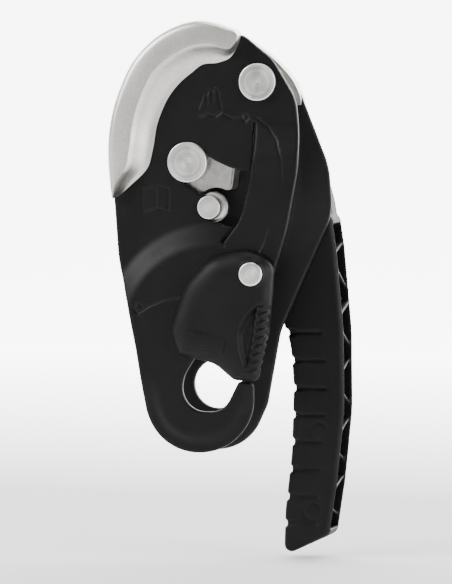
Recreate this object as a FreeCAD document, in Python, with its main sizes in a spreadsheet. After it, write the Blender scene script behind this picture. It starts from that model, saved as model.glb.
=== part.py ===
"""Self-braking rope descender with a cam, two side plates, a sprung gate and a control handle.

Frame: X right, Z up, Y away from the front, millimetres. The origin is the centre of the
connector hole on the mid-plane of the fixed side plate. A "depth" is the distance in front of
that mid-plane, so depth is -Y: the moving plate has positive depths, the handle negative ones.
"""
import FreeCAD, Part
import math
import os
import Sketcher

Vector = FreeCAD.Vector

# ---------------------------------------------------------------- driving dimensions, mm

SIZES = {
    # Axes that the moving pieces turn on, and the stop post.
    "pivot_x": 20.4, "pivot_z": 123.5,
    "axle_x": -9.0, "axle_z": 91.0,
    "post_x": 0.1, "post_z": 72.7,
    "gate_x": 20.0, "gate_z": 46.3,
    # Depths of the plates.
    "fixed_back": -1.4, "fixed_thickness": 2.8,
    "low_inner": 13.4, "low_outer": 15.9,
    "raised_inner": 17.8, "raised_outer": 20.3,
    "plate_blank": 12.0,
    # The round step between the two levels of the moving plate.
    "step_centre_x": 2.0, "step_centre_z": 20.0,
    "step_inner_radius": 37.0, "step_outer_radius": 47.0, "step_reach": 140.0,
    "step_thickness_shift": 0.5, "lower_step_length": 60.0,
    # The straight step of the band at the right of the window.
    "band_raised_top": 94.0, "band_low_bottom": 106.0, "band_bottom": 25.0, "band_top": 150.0,
    "band_left": -20.0, "band_width": 80.0,
    # Holes.
    "connector_radius": 10.0, "shank_hole_radius": 5.05, "rivet_radius": 1.5,
    "dog_slot_radius": 11.0, "dog_slot_half_width": 2.2,
    # Slots of the moving plate that let the axle and the post pass, round the plate pivot.
    "axle_slot_half_width": 7.3, "axle_slot_span": 44.0,
    "post_slot_half_width": 4.9, "post_slot_span": 24.0,
    # Plate pivot pin.
    "pivot_head_radius": 7.6, "pivot_face_radius": 7.1, "pivot_shank_radius": 5.0,
    "pivot_head_front": 18.4, "pivot_head_edge": 17.8, "pivot_head_back": 16.0,
    "flush_back": -1.38,
    # Thrust washer between the friction block and the moving plate.
    "washer_radius": 6.6, "washer_back": 12.85, "washer_thickness": 0.5,
    # Friction block.
    "block_back": 1.42, "block_thickness": 11.4, "block_bore_radius": 5.02,
    "block_rivet_radius": 1.6, "block_rivet_front": 8.0,
    # Cam axle.
    "axle_head_radius": 8.2, "axle_face_radius": 7.5, "axle_head_front": 17.5,
    "axle_head_edge": 16.9, "axle_head_back": 15.97, "axle_neck_radius": 6.95,
    "axle_neck_back": 12.8, "axle_shank_radius": 6.0, "axle_shank_back": -16.1,
    "axle_spigot_radius": 5.0, "axle_spigot_back": -19.3,
    "axle_washer_radius": 9.0, "axle_washer_front": -16.12, "axle_washer_back": -17.2,
    "axle_cap_radius": 7.8, "axle_cap_front": -17.22, "axle_cap_edge": -19.4,
    "axle_cap_face_radius": 7.0, "axle_cap_back": -20.1, "axle_cap_bore_back": -19.32,
    "spigot_hole_radius": 5.02,
    # Stop post.
    "post_radius": 4.75, "post_face_radius": 4.2, "post_front": 17.5, "post_edge": 16.95,
    "post_flange_radius": 6.3, "post_flange_front": 10.5, "post_flange_back": 8.5,
    "post_foot_radius": 4.4, "post_foot_back": 1.42, "post_shank_radius": 3.5,
    "post_hole_radius": 3.52,
    # Cam.
    "cam_back": 2.2, "cam_thickness": 9.2, "cam_front": 11.4, "cam_bore_radius": 7.42,
    "cam_spring_inner": 8.8, "cam_spring_outer": 12.6, "cam_spring_depth": 4.4,
    "cam_dog_inner": 8.8, "cam_dog_outer": 13.2, "cam_dog_depth": 3.6,
    "cheek_back": 11.42, "cheek_thickness": 1.18, "cheek_hole_radius": 7.2,
    "bush_inner_radius": 6.05, "bush_outer_radius": 7.4, "cam_bush_back": 2.3,
    "cam_bush_length": 8.9,
    # Springs: coil radius, wire radius, pitch and length.
    "cam_coil_radius": 10.7, "cam_wire_radius": 0.55, "cam_coil_start": 10.6,
    "cam_coil_pitch": 1.25, "cam_coil_length": 2.5, "cam_spring_leg": 3.0,
    "gate_coil_radius": 3.65, "gate_wire_radius": 0.45, "gate_coil_start": 24.5,
    "gate_coil_pitch": 1.0, "gate_coil_length": 1.5, "gate_spring_leg": 1.2,
    "handle_coil_radius": 12.8, "handle_wire_radius": 0.9, "handle_coil_start": -9.6,
    "handle_coil_pitch": 2.0, "handle_coil_length": 5.0, "handle_spring_leg": 5.0,
    # Gate.
    "gate_back": 20.5, "gate_depth": 6.5, "gate_front": 27.0, "gate_edge_fillet": 2.6,
    "gate_hollow_depth": 4.6, "gate_boss_hole_radius": 3.05,
    "arm_notch_depth": 2.2, "finger_notch_depth": 0.3,
    "tongue_back": 20.6, "tongue_thickness": 1.8, "finger_back": 18.0, "finger_thickness": 2.62,
    "gate_rivet_radius": 3.0, "gate_rivet_head_radius": 4.8, "gate_rivet_face_radius": 4.4,
    "gate_rivet_head_back": 27.04, "gate_rivet_edge": 27.8, "gate_rivet_front": 28.2,
    "gate_rivet_rear_front": 17.78, "gate_rivet_rear_radius": 4.8, "gate_rivet_rear_back": 16.7,
    "gate_rivet_hole_radius": 3.02,
    # Handle.
    "handle_back": -19.6, "fan_depth": 11.6,
    "boss_radius": 21.5, "boss_depth": 14.25,
    "arm_depth": 17.6, "arm_front": -2.0, "lip_clear_inner": 22.0, "lip_clear_outer": 58.0,
    "lip_clear_depth": 6.0,
    "channel_front": -3.8, "channel_depth": 14.0, "handle_bore_radius": 7.52,
    "hub_recess_radius": 22.5, "hub_recess_depth": 3.7,
    "spring_pocket_inner": 10.6, "spring_pocket_outer": 15.2, "spring_pocket_depth": 7.6,
    "spring_pocket_back": -16.0,
    "drive_recess_radius": 18.2, "drive_front": -1.75, "drive_thickness": 2.45,
    "drive_radius": 18.0, "drive_hole_radius": 7.54, "dog_radius": 1.8, "dog_front": 5.4,
    "dog_length": 8.15,
    "dog_angle": -10.0, "handle_bush_front": -1.8, "handle_bush_length": 13.9,
    "handle_bush_radius": 7.5,
    "cover_front": -16.02, "cover_thickness": 1.9, "cover_radius": 22.2, "cover_hole_radius": 9.6,
    "screw_circle": 18.7, "screw_radius": 1.4, "screw_shank_radius": 1.38,
    "screw_head_radius": 2.7,
    "screw_tip": -11.0, "screw_seat": -17.94, "screw_back": -19.3,
    # Friction lips, set on the plates' outer faces.
    "lip_seat": 15.92, "lip_overlap": 13.6, "lip_edge": 20.4, "lip_shoulder": 21.7,
    "lip_crest": 22.0, "lip_toe": 16.5,
    "lip_rivet_radius": 1.48, "lip_rivet_head_radius": 2.4, "lip_rivet_head_back": 12.8,
    "lip_rivet_seat": 13.38, "lip_rivet_front": 15.9,
    "rear_rivet_head_front": 2.0, "rear_rivet_seat": 1.42, "rear_rivet_back": -1.4,
    "rear_lip_seat": -1.42, "rear_lip_overlap": 1.2, "rear_lip_edge": -5.2,
    "rear_lip_shoulder": -6.6, "rear_lip_crest": -7.0, "rear_lip_toe": -2.0,
}

SHEET_NAME = "Sizes"


def size(name):
    return SIZES[name]


def ref(name):
    """An expression that reads one cell of the sheet; a leading minus sign is kept."""
    if name.startswith("-"):
        return "-" + SHEET_NAME + "." + name[1:]
    return SHEET_NAME + "." + name


# ---------------------------------------------------------------- outlines, X and Z, mm
# Each corner is (x, z, rounding radius).

MOVING_PLATE = [
    (-40.4, 80.0, 3), (-37.0, 96.0, 30), (-33.2, 119.5, 40), (-20.5, 137.0, 40),
    (-3.5, 143.4, 30), (14.0, 142.6, 7), (26.3, 132.6, 20), (35.9, 116.6, 18),
    (38.3, 92.0, 60), (33.0, 64.0, 60), (27.3, 45.0, 25), (26.6, 30.0, 15), (25.0, 18.3, 2.5),
    (11.16, 18.3, 28), (2.6, 24.3, 3), (-10.3, 3.3, 14), (-10.0, -10.0, 10),
    (7.0, -10.2, 9.5), (13.2, 2.4, 1.6), (19.3, 2.4, 2.6), (19.2, -27.0, 23),
    (-23.0, -27.0, 22), (-29.9, 14.5, 60), (-33.6, 33.0, 30), (-38.2, 50.0, 60),
]

FIXED_PLATE = [
    (-40.4, 80.0, 3), (-37.0, 96.0, 30), (-33.2, 119.5, 40), (-20.5, 137.0, 40),
    (-3.5, 143.4, 30), (13.0, 138.2, 20), (24.5, 129.0, 20), (34.6, 118.4, 3),
    (46.3, 89.0, 34), (47.6, 70.0, 24), (26.2, 22.0, 25), (20.8, -8.0, 14), (12.0, -27.0, 20),
    (-23.0, -27.0, 22), (-29.9, 14.5, 60), (-33.6, 33.0, 30), (-38.2, 50.0, 60),
]

# The low part of the moving plate, left of the slit and above it, and the band right of the slit.
BAND = [
    (19.0, 113.0, 1), (19.5, 97.0, 10), (17.6, 82.0, 30), (14.0, 68.0, 20), (6.9, 58.6, 1),
    (9.0, 45.0, 1), (24.0, 40.0, 1), (60.0, 40.0, 1), (60.0, 113.0, 1),
]
BEHIND_BAND = [
    (18.3, 107.0, 0), (18.8, 97.0, 10), (16.8, 82.0, 30), (13.2, 68.4, 20), (5.8, 58.8, 0),
    (6.4, 54.0, 0), (20.0, 48.0, 0), (60.0, 34.0, 0), (60.0, 107.0, 0),
]

CAM = [
    (10.0, 91.5, 3), (15.0, 98.0, 4), (18.5, 107.0, 3.5), (9.0, 110.5, 12), (-8.0, 109.0, 14),
    (-22.0, 101.0, 14), (-23.5, 87.0, 10), (-18.5, 77.5, 2.5), (-11.5, 76.6, 2.0),
    (-5.0, 77.9, 6), (1.0, 81.4, 8), (8.4, 79.0, 2.2),
]

FRICTION_BLOCK = [
    (13.6, 123.0, 5), (15.5, 131.0, 5), (26.0, 129.5, 4), (33.0, 118.0, 3), (28.0, 112.0, 4),
    (21.0, 117.0, 5), (15.0, 117.6, 4),
]

GATE_DOME = [
    (-11.0, 13.0, 3), (-15.0, 24.0, 14), (-8.5, 41.5, 20), (2.0, 53.0, 16), (17.0, 56.3, 14),
    (28.6, 52.0, 8), (27.6, 36.0, 30), (25.3, 18.0, 30), (21.8, 2.9, 3), (12.0, 3.0, 4),
    (4.0, 9.6, 12),
]
GATE_ARM = [
    (13.6, 52.0, 6), (26.0, 52.6, 6), (25.0, 34.0, 20), (23.2, 17.0, 10), (20.6, 5.2, 1.5),
    (14.9, 5.2, 1.5), (12.8, 17.0, 10), (12.6, 38.0, 20),
]
GATE_FINGER = [
    (13.8, 17.4, 0.6), (22.4, 17.5, 0.6), (20.2, 3.3, 1.2), (14.6, 3.3, 1.2),
]

HANDLE_FAN = [
    (-13.0, 112.0, 14), (6.0, 113.0, 20), (26.5, 119.0, 5), (32.4, 114.0, 4), (39.3, 94.0, 40),
    (44.8, 75.0, 40), (48.4, 52.0, 20), (40.0, 40.0, 6), (24.0, 36.0, 10), (10.0, 64.0, 30),
    (-8.0, 69.5, 20), (-30.5, 74.0, 18), (-30.5, 103.0, 18),
]
HANDLE_ARM = [
    (45.6, 78.0, 5), (48.9, 56.0, 60), (52.0, 22.0, 80), (52.4, -10.0, 80), (49.4, -40.0, 80),
    (46.1, -61.5, 4), (26.9, -70.5, 3.0), (27.4, -52.0, 30), (30.1, -28.0, 50),
    (30.9, 0.0, 50), (29.6, 16.0, 30), (22.0, 40.0, 10), (29.0, 56.0, 20),
]
HANDLE_CHANNEL = [
    (60.0, 70.0, 0), (60.0, -58.0, 0), (33.0, -60.0, 2), (34.6, -28.0, 40), (35.4, 0.0, 40),
    (34.4, 26.0, 30), (37.5, 46.0, 20), (41.0, 64.0, 3),
]
# Top and bottom ends of the zigzag ribs of the handle: height at the front, height at the back.
RIB_ENDS = [
    (53.4, 57.4), (47.0, 39.8), (29.3, 33.3), (22.5, 16.0), (4.8, 9.5), (-1.7, -8.0),
    (-19.0, -14.8), (-26.3, -31.5), (-41.8, -38.4), (-49.6, -54.0),
]
RIB_HALF_THICKNESS = 0.6
RIB_LEFT = 34.0

# Friction lips: outer edge, inner edge, and where the crest lies between them.
LIP_STATIONS = [
    (-39.3, 76.2, -37.9, 77.0, 0.40), (-40.3, 81.0, -32.9, 81.4, 0.35),
    (-41.0, 88.0, -26.0, 88.3, 0.52), (-41.3, 96.0, -23.7, 95.6, 0.56),
    (-40.3, 107.0, -21.8, 106.0, 0.56), (-36.6, 120.0, -17.6, 116.2, 0.54),
    (-29.6, 133.4, -12.6, 122.8, 0.52), (-19.0, 143.0, -7.4, 127.2, 0.55),
    (-6.0, 148.0, -2.0, 130.8, 0.58), (4.5, 147.0, 3.4, 131.9, 0.58),
    (10.2, 144.8, 8.4, 135.6, 0.62), (12.8, 143.7, 11.9, 140.4, 0.60),
]
REAR_LIP_STATIONS = [
    (-39.3, 76.2, -37.9, 77.0, 0.40), (-40.3, 81.0, -32.9, 81.4, 0.35),
    (-41.0, 88.0, -32.4, 88.2, 0.52), (-41.3, 96.0, -32.2, 95.5, 0.56),
    (-40.3, 107.0, -29.6, 104.8, 0.56), (-36.6, 120.0, -22.0, 116.2, 0.54),
    (-29.6, 133.4, -16.6, 124.8, 0.52), (-19.0, 143.0, -10.4, 130.2, 0.55),
    (-5.0, 147.0, -3.0, 133.4, 0.58), (6.0, 144.0, 2.0, 131.9, 0.58),
    (16.8, 138.0, 9.5, 127.6, 0.62), (26.6, 130.0, 18.8, 121.6, 0.60),
    (32.6, 122.4, 26.4, 117.6, 0.60), (34.9, 116.4, 29.0, 114.6, 0.60),
    (34.9, 114.2, 30.0, 113.4, 0.60),
]
LIP_RIVETS = [(-33.6, 96.0), (-24.0, 122.0), (-2.0, 137.6)]
REAR_LIP_RIVETS = [(-33.6, 96.0), (-25.4, 122.0), (-3.0, 138.0), (13.0, 133.6)]
BLOCK_RIVETS = [(29.0, 117.6)]
SCREW_ANGLES = (30, 150, 270)

doc = FreeCAD.newDocument("descender")
sheet = doc.addObject("Spreadsheet::Sheet", SHEET_NAME)
for row, (alias, value) in enumerate(SIZES.items(), start=1):
    sheet.set("A%d" % row, alias)
    sheet.set("B%d" % row, str(value))
    sheet.setAlias("B%d" % row, alias)
doc.recompute()

SUB_PARTS = []


# ---------------------------------------------------------------- geometry helpers


def rounded(corners):
    """Lines and arcs of a closed outline whose corners are rounded, in the sketch's plane."""
    count = len(corners)
    points = [Vector(x, y, 0) for x, y, _ in corners]
    halves = []
    wanted = []
    for i in range(count):
        to_before = points[i - 1] - points[i]
        to_after = points[(i + 1) % count] - points[i]
        halves.append(to_before.getAngle(to_after) / 2)
        wanted.append(corners[i][2] / math.tan(halves[i]))
    reaches = list(wanted)
    for i in range(count):
        following = (i + 1) % count
        room = 0.99 * (points[following] - points[i]).Length
        both = wanted[i] + wanted[following]
        if both > room:
            reaches[i] = min(reaches[i], wanted[i] * room / both)
            reaches[following] = min(reaches[following], wanted[following] * room / both)
    arcs = []
    for i in range(count):
        to_before = (points[i - 1] - points[i]).normalize()
        to_after = (points[(i + 1) % count] - points[i]).normalize()
        radius = reaches[i] * math.tan(halves[i])
        if radius < 1e-3:
            arcs.append((points[i], points[i], None))
            continue
        inward = (to_before + to_after).normalize()
        centre = points[i] + inward * (radius / math.sin(halves[i]))
        arcs.append((points[i] + to_before * reaches[i], points[i] + to_after * reaches[i],
                     centre - inward * radius))
    pieces = []
    for i in range(count):
        start, end, middle = arcs[i]
        following = arcs[(i + 1) % count][0]
        if middle is not None:
            pieces.append(Part.Arc(start, middle, end))
        if (following - end).Length > 1e-6:
            pieces.append(Part.LineSegment(end, following))
    return pieces


def ring_slot(radius, half_width, first_angle, last_angle, centre):
    """A slot with round ends along a circle, angles in degrees, anticlockwise from +X."""
    cx, cy = centre

    def at(distance, angle):
        turn = math.radians(angle)
        return Vector(cx + distance * math.cos(turn), cy + distance * math.sin(turn), 0)

    middle = (first_angle + last_angle) / 2
    end_turn = math.degrees(half_width / radius)
    inner = radius - half_width
    outer = radius + half_width
    return [
        Part.Arc(at(outer, first_angle), at(outer, middle), at(outer, last_angle)),
        Part.Arc(at(outer, last_angle), at(radius, last_angle + end_turn), at(inner, last_angle)),
        Part.Arc(at(inner, last_angle), at(inner, middle), at(inner, first_angle)),
        Part.Arc(at(inner, first_angle), at(radius, first_angle - end_turn),
                 at(outer, first_angle)),
    ]


def polygon(points):
    """Straight edges of a closed outline."""
    corners = [Vector(x, y, 0) for x, y in points]
    return [Part.LineSegment(corners[i - 1], corners[i]) for i in range(len(corners))]


def shrunk(corners, factor):
    """The same outline scaled about its middle."""
    mid_x = sum(c[0] for c in corners) / len(corners)
    mid_z = sum(c[1] for c in corners) / len(corners)
    return [(mid_x + (x - mid_x) * factor, mid_z + (z - mid_z) * factor, radius * factor)
            for x, z, radius in corners]


def on_circle(centre, radius, angle):
    turn = math.radians(angle)
    return (centre[0] + radius * math.cos(turn), centre[1] + radius * math.sin(turn))


PIVOT = (size("pivot_x"), size("pivot_z"))
AXLE = (size("axle_x"), size("axle_z"))
POST = (size("post_x"), size("post_z"))
GATE = (size("gate_x"), size("gate_z"))
STEP_CENTRE = (size("step_centre_x"), size("step_centre_z"))


# ---------------------------------------------------------------- sketches and features


def origin_plane(body, role):
    return [item for item in body.Origin.OriginFeatures if item.Role == role][0]


def circle_in(sketch, centre, radius_name):
    """A circle whose radius follows the sheet."""
    radius = size(radius_name)
    circle = Part.Circle(Vector(centre[0], centre[1], 0), Vector(0, 0, 1), radius)
    index = sketch.addGeometry(circle)
    rule = sketch.addConstraint(Sketcher.Constraint("Radius", index, radius))
    sketch.setExpression("Constraints[%d]" % rule, ref(radius_name))


def fill_sketch(sketch, outlines, circles):
    for pieces in outlines:
        for piece in pieces:
            sketch.addGeometry(piece)
    for centre, radius_name in circles:
        circle_in(sketch, centre, radius_name)


def face_sketch(body, name, depth_name, outlines=(), circles=()):
    """A sketch in the XZ plane at a named depth; its normal points to the front."""
    sketch = body.newObject("Sketcher::SketchObject", name)
    sketch.AttachmentSupport = [(origin_plane(body, "XZ_Plane"), "")]
    sketch.MapMode = "FlatFace"
    sketch.setExpression("AttachmentOffset.Base.z", ref(depth_name))
    fill_sketch(sketch, outlines, circles)
    return sketch


def part_named(label):
    return [item for item in SUB_PARTS if item.Label == label][0]


def new_body(label):
    body = doc.addObject("PartDesign::Body", label)
    body.Label = label
    SUB_PARTS.append(body)
    return body


def pad(body, sketch, length_name):
    """Material from the sketch towards the front."""
    feature = body.newObject("PartDesign::Pad", "pad")
    feature.Profile = sketch
    feature.setExpression("Length", ref(length_name))
    doc.recompute()
    return feature


def pocket(body, sketch, length_name, to_front=False):
    """A cut from the sketch towards the back, or towards the front."""
    before = body.Shape.Volume
    feature = body.newObject("PartDesign::Pocket", "pocket")
    feature.Profile = sketch
    feature.Reversed = to_front
    feature.setExpression("Length", ref(length_name))
    doc.recompute()
    if not body.Shape.Volume < before - 1e-3:
        raise RuntimeError("pocket in %s cut nothing" % body.Label)
    return feature


def turned(label, centre_names, profile):
    """A body of revolution about an axis along Y. The profile is (radius, depth) names, with
    None as the radius of a point on the axis."""
    body = new_body(label)
    sketch = body.newObject("Sketcher::SketchObject", label + "_profile")
    sketch.AttachmentSupport = [(origin_plane(body, "XY_Plane"), "")]
    sketch.MapMode = "FlatFace"
    points = [Vector(size(radius) if radius else 0.0, -size(depth), 0)
              for radius, depth in profile]
    for i in range(len(points)):
        following = points[(i + 1) % len(points)]
        sketch.addGeometry(Part.LineSegment(points[i], following))
    for i in range(len(points)):
        sketch.addConstraint(Sketcher.Constraint("Coincident", i - 1 if i else len(points) - 1,
                                                 2, i, 1))
    for i, (radius, depth) in enumerate(profile):
        if radius:
            rule = sketch.addConstraint(
                Sketcher.Constraint("DistanceX", -1, 1, i, 1, points[i].x))
            sketch.setExpression("Constraints[%d]" % rule, ref(radius))
        else:
            sketch.addConstraint(Sketcher.Constraint("PointOnObject", i, 1, -2))
        rule = sketch.addConstraint(Sketcher.Constraint("DistanceY", -1, 1, i, 1, points[i].y))
        sketch.setExpression("Constraints[%d]" % rule, ref("-" + depth))
    turn = body.newObject("PartDesign::Revolution", label + "_turned")
    turn.Profile = sketch
    turn.ReferenceAxis = (sketch, ["V_Axis"])
    turn.Angle = 360
    body.setExpression("Placement.Base.x", ref(centre_names[0]))
    body.setExpression("Placement.Base.z", ref(centre_names[1]))
    doc.recompute()
    return body


def torsion_spring(label, centre_names, prefix):
    """A coil about an axis along Y, wound backwards from its start, with two straight legs."""
    body = new_body(label)
    sketch = body.newObject("Sketcher::SketchObject", label + "_wire")
    sketch.AttachmentSupport = [(origin_plane(body, "XY_Plane"), "")]
    sketch.MapMode = "FlatFace"
    centre = Vector(size(prefix + "_coil_radius"), -size(prefix + "_coil_start"), 0)
    wire = sketch.addGeometry(Part.Circle(centre, Vector(0, 0, 1), size(prefix + "_wire_radius")))
    rule = sketch.addConstraint(
        Sketcher.Constraint("Radius", wire, size(prefix + "_wire_radius")))
    sketch.setExpression("Constraints[%d]" % rule, ref(prefix + "_wire_radius"))
    rule = sketch.addConstraint(Sketcher.Constraint("DistanceX", -1, 1, wire, 3, centre.x))
    sketch.setExpression("Constraints[%d]" % rule, ref(prefix + "_coil_radius"))
    rule = sketch.addConstraint(Sketcher.Constraint("DistanceY", -1, 1, wire, 3, centre.y))
    sketch.setExpression("Constraints[%d]" % rule, ref("-" + prefix + "_coil_start"))
    coil = body.newObject("PartDesign::AdditiveHelix", label + "_coil")
    coil.Profile = sketch
    coil.ReferenceAxis = (sketch, ["V_Axis"])
    coil.Mode = 0
    coil.Angle = 0
    coil.Growth = 0
    coil.setExpression("Pitch", ref(prefix + "_coil_pitch"))
    coil.setExpression("Height", ref(prefix + "_coil_length"))
    doc.recompute()
    leg = body.newObject("PartDesign::Pad", label + "_leg")
    leg.Profile = sketch
    leg.setExpression("Length", ref(prefix + "_spring_leg"))
    body.setExpression("Placement.Base.x", ref(centre_names[0]))
    body.setExpression("Placement.Base.z", ref(centre_names[1]))
    doc.recompute()
    return body


def plain_sketch(name, rotation, outlines=(), circles=()):
    """A sketch outside any body, turned so that its plane faces the given way."""
    sketch = doc.addObject("Sketcher::SketchObject", name)
    sketch.Placement = FreeCAD.Placement(Vector(0, 0, 0), rotation)
    fill_sketch(sketch, outlines, circles)
    return sketch


TO_FRONT = FreeCAD.Rotation(Vector(1, 0, 0), 90)
TO_RIGHT = FreeCAD.Rotation(90, 0, 90)


def front_prism(name, outlines, circles, back_name, length_name):
    """A Part extrusion of an XZ outline, from one depth towards the front."""
    sketch = plain_sketch(name + "_sketch", TO_FRONT, outlines, circles)
    sketch.setExpression("Placement.Base.y", ref("-" + back_name))
    prism = doc.addObject("Part::Extrusion", name)
    prism.Base = sketch
    prism.DirMode = "Custom"
    prism.Dir = Vector(0, -1, 0)
    prism.setExpression("LengthFwd", ref(length_name))
    prism.Solid = True
    return prism


def boolean(kind, name, first, second):
    """A Part boolean of two objects: Common or Cut."""
    result = doc.addObject("Part::" + kind, name)
    result.Base = first
    result.Tool = second
    return result


def fuse(name, first, second):
    result = doc.addObject("Part::Fuse", name)
    result.Base = first
    result.Tool = second
    result.Refine = True
    return result


# ---------------------------------------------------------------- fixed side


def fixed_side_plate():
    body = new_body("fixed_side_plate")
    dog_slot = ring_slot(size("dog_slot_radius"), size("dog_slot_half_width"),
                         size("dog_angle") - 1, size("dog_angle") + 97, AXLE)
    circles = [((0.0, 0.0), "connector_radius"), (PIVOT, "pivot_shank_radius"),
               (AXLE, "axle_shank_radius"), (POST, "post_hole_radius")]
    circles += [(place, "rivet_radius") for place in REAR_LIP_RIVETS]
    circles += [(place, "block_rivet_radius") for place in BLOCK_RIVETS]
    sketch = face_sketch(body, "fixed_outline", "fixed_back", [rounded(FIXED_PLATE), dog_slot],
                         circles)
    pad(body, sketch, "fixed_thickness")


def friction_block():
    body = new_body("friction_block")
    sketch = face_sketch(body, "block_outline", "block_back", [rounded(FRICTION_BLOCK)],
                         [(PIVOT, "block_bore_radius")])
    pad(body, sketch, "block_thickness")
    holes = face_sketch(body, "block_rivet_hole", "block_rivet_front", (),
                        [(place, "block_rivet_radius") for place in BLOCK_RIVETS])
    pocket(body, holes, "block_thickness")


def group_of_rivets(label, places, profile_names):
    """Separate turned rivets, fused as one compound of solids. The profile is (radius, depth)."""
    profile = [(size(radius) if radius else 0.0, size(depth)) for radius, depth in profile_names]
    solids = []
    for x, z in places:
        points = [Vector(x + radius, -depth, z) for radius, depth in profile]
        face = Part.Face(Part.makePolygon(points + points[:1]))
        solids.append(face.revolve(Vector(x, 0, z), Vector(0, 1, 0), 360))
    group = doc.addObject("Part::Feature", label)
    group.Label = label
    group.Shape = Part.makeCompound(solids)
    SUB_PARTS.append(group)


def fixed_side_hardware():
    turned("plate_pivot_pin", ("pivot_x", "pivot_z"), [
        (None, "pivot_head_front"), ("pivot_face_radius", "pivot_head_front"),
        ("pivot_head_radius", "pivot_head_edge"), ("pivot_head_radius", "pivot_head_back"),
        ("pivot_shank_radius", "pivot_head_back"), ("pivot_shank_radius", "flush_back"),
        (None, "flush_back")])
    washer = new_body("pivot_thrust_washer")
    sketch = face_sketch(washer, "washer_outline", "washer_back", (),
                         [(PIVOT, "washer_radius"), (PIVOT, "block_bore_radius")])
    pad(washer, sketch, "washer_thickness")
    turned("cam_axle", ("axle_x", "axle_z"), [
        (None, "axle_head_front"), ("axle_face_radius", "axle_head_front"),
        ("axle_head_radius", "axle_head_edge"), ("axle_head_radius", "axle_head_back"),
        ("axle_neck_radius", "axle_head_back"), ("axle_neck_radius", "axle_neck_back"),
        ("axle_shank_radius", "axle_neck_back"), ("axle_shank_radius", "axle_shank_back"),
        ("axle_spigot_radius", "axle_shank_back"), ("axle_spigot_radius", "axle_spigot_back"),
        (None, "axle_spigot_back")])
    turned("axle_rear_washer", ("axle_x", "axle_z"), [
        ("spigot_hole_radius", "axle_washer_front"), ("axle_washer_radius", "axle_washer_front"),
        ("axle_washer_radius", "axle_washer_back"), ("spigot_hole_radius", "axle_washer_back")])
    turned("axle_rear_cap", ("axle_x", "axle_z"), [
        ("spigot_hole_radius", "axle_cap_front"), ("axle_cap_radius", "axle_cap_front"),
        ("axle_cap_radius", "axle_cap_edge"), ("axle_cap_face_radius", "axle_cap_back"),
        (None, "axle_cap_back"), (None, "axle_cap_bore_back"),
        ("spigot_hole_radius", "axle_cap_bore_back")])
    turned("stop_post", ("post_x", "post_z"), [
        (None, "post_front"), ("post_face_radius", "post_front"), ("post_radius", "post_edge"),
        ("post_radius", "post_flange_front"), ("post_flange_radius", "post_flange_front"),
        ("post_flange_radius", "post_flange_back"), ("post_foot_radius", "post_flange_back"),
        ("post_foot_radius", "post_foot_back"), ("post_shank_radius", "post_foot_back"),
        ("post_shank_radius", "flush_back"), (None, "flush_back")])
    group_of_rivets("friction_block_rivet", BLOCK_RIVETS, [
        (None, "block_rivet_front"), ("rivet_radius", "block_rivet_front"),
        ("rivet_radius", "flush_back"), (None, "flush_back")])


def rear_lip_rivets():
    group_of_rivets("rear_lip_rivets", REAR_LIP_RIVETS, [
        (None, "rear_rivet_head_front"), ("lip_rivet_head_radius", "rear_rivet_head_front"),
        ("lip_rivet_head_radius", "rear_rivet_seat"), ("lip_rivet_radius", "rear_rivet_seat"),
        ("lip_rivet_radius", "rear_rivet_back"), (None, "rear_rivet_back")])


# ---------------------------------------------------------------- moving side


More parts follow.
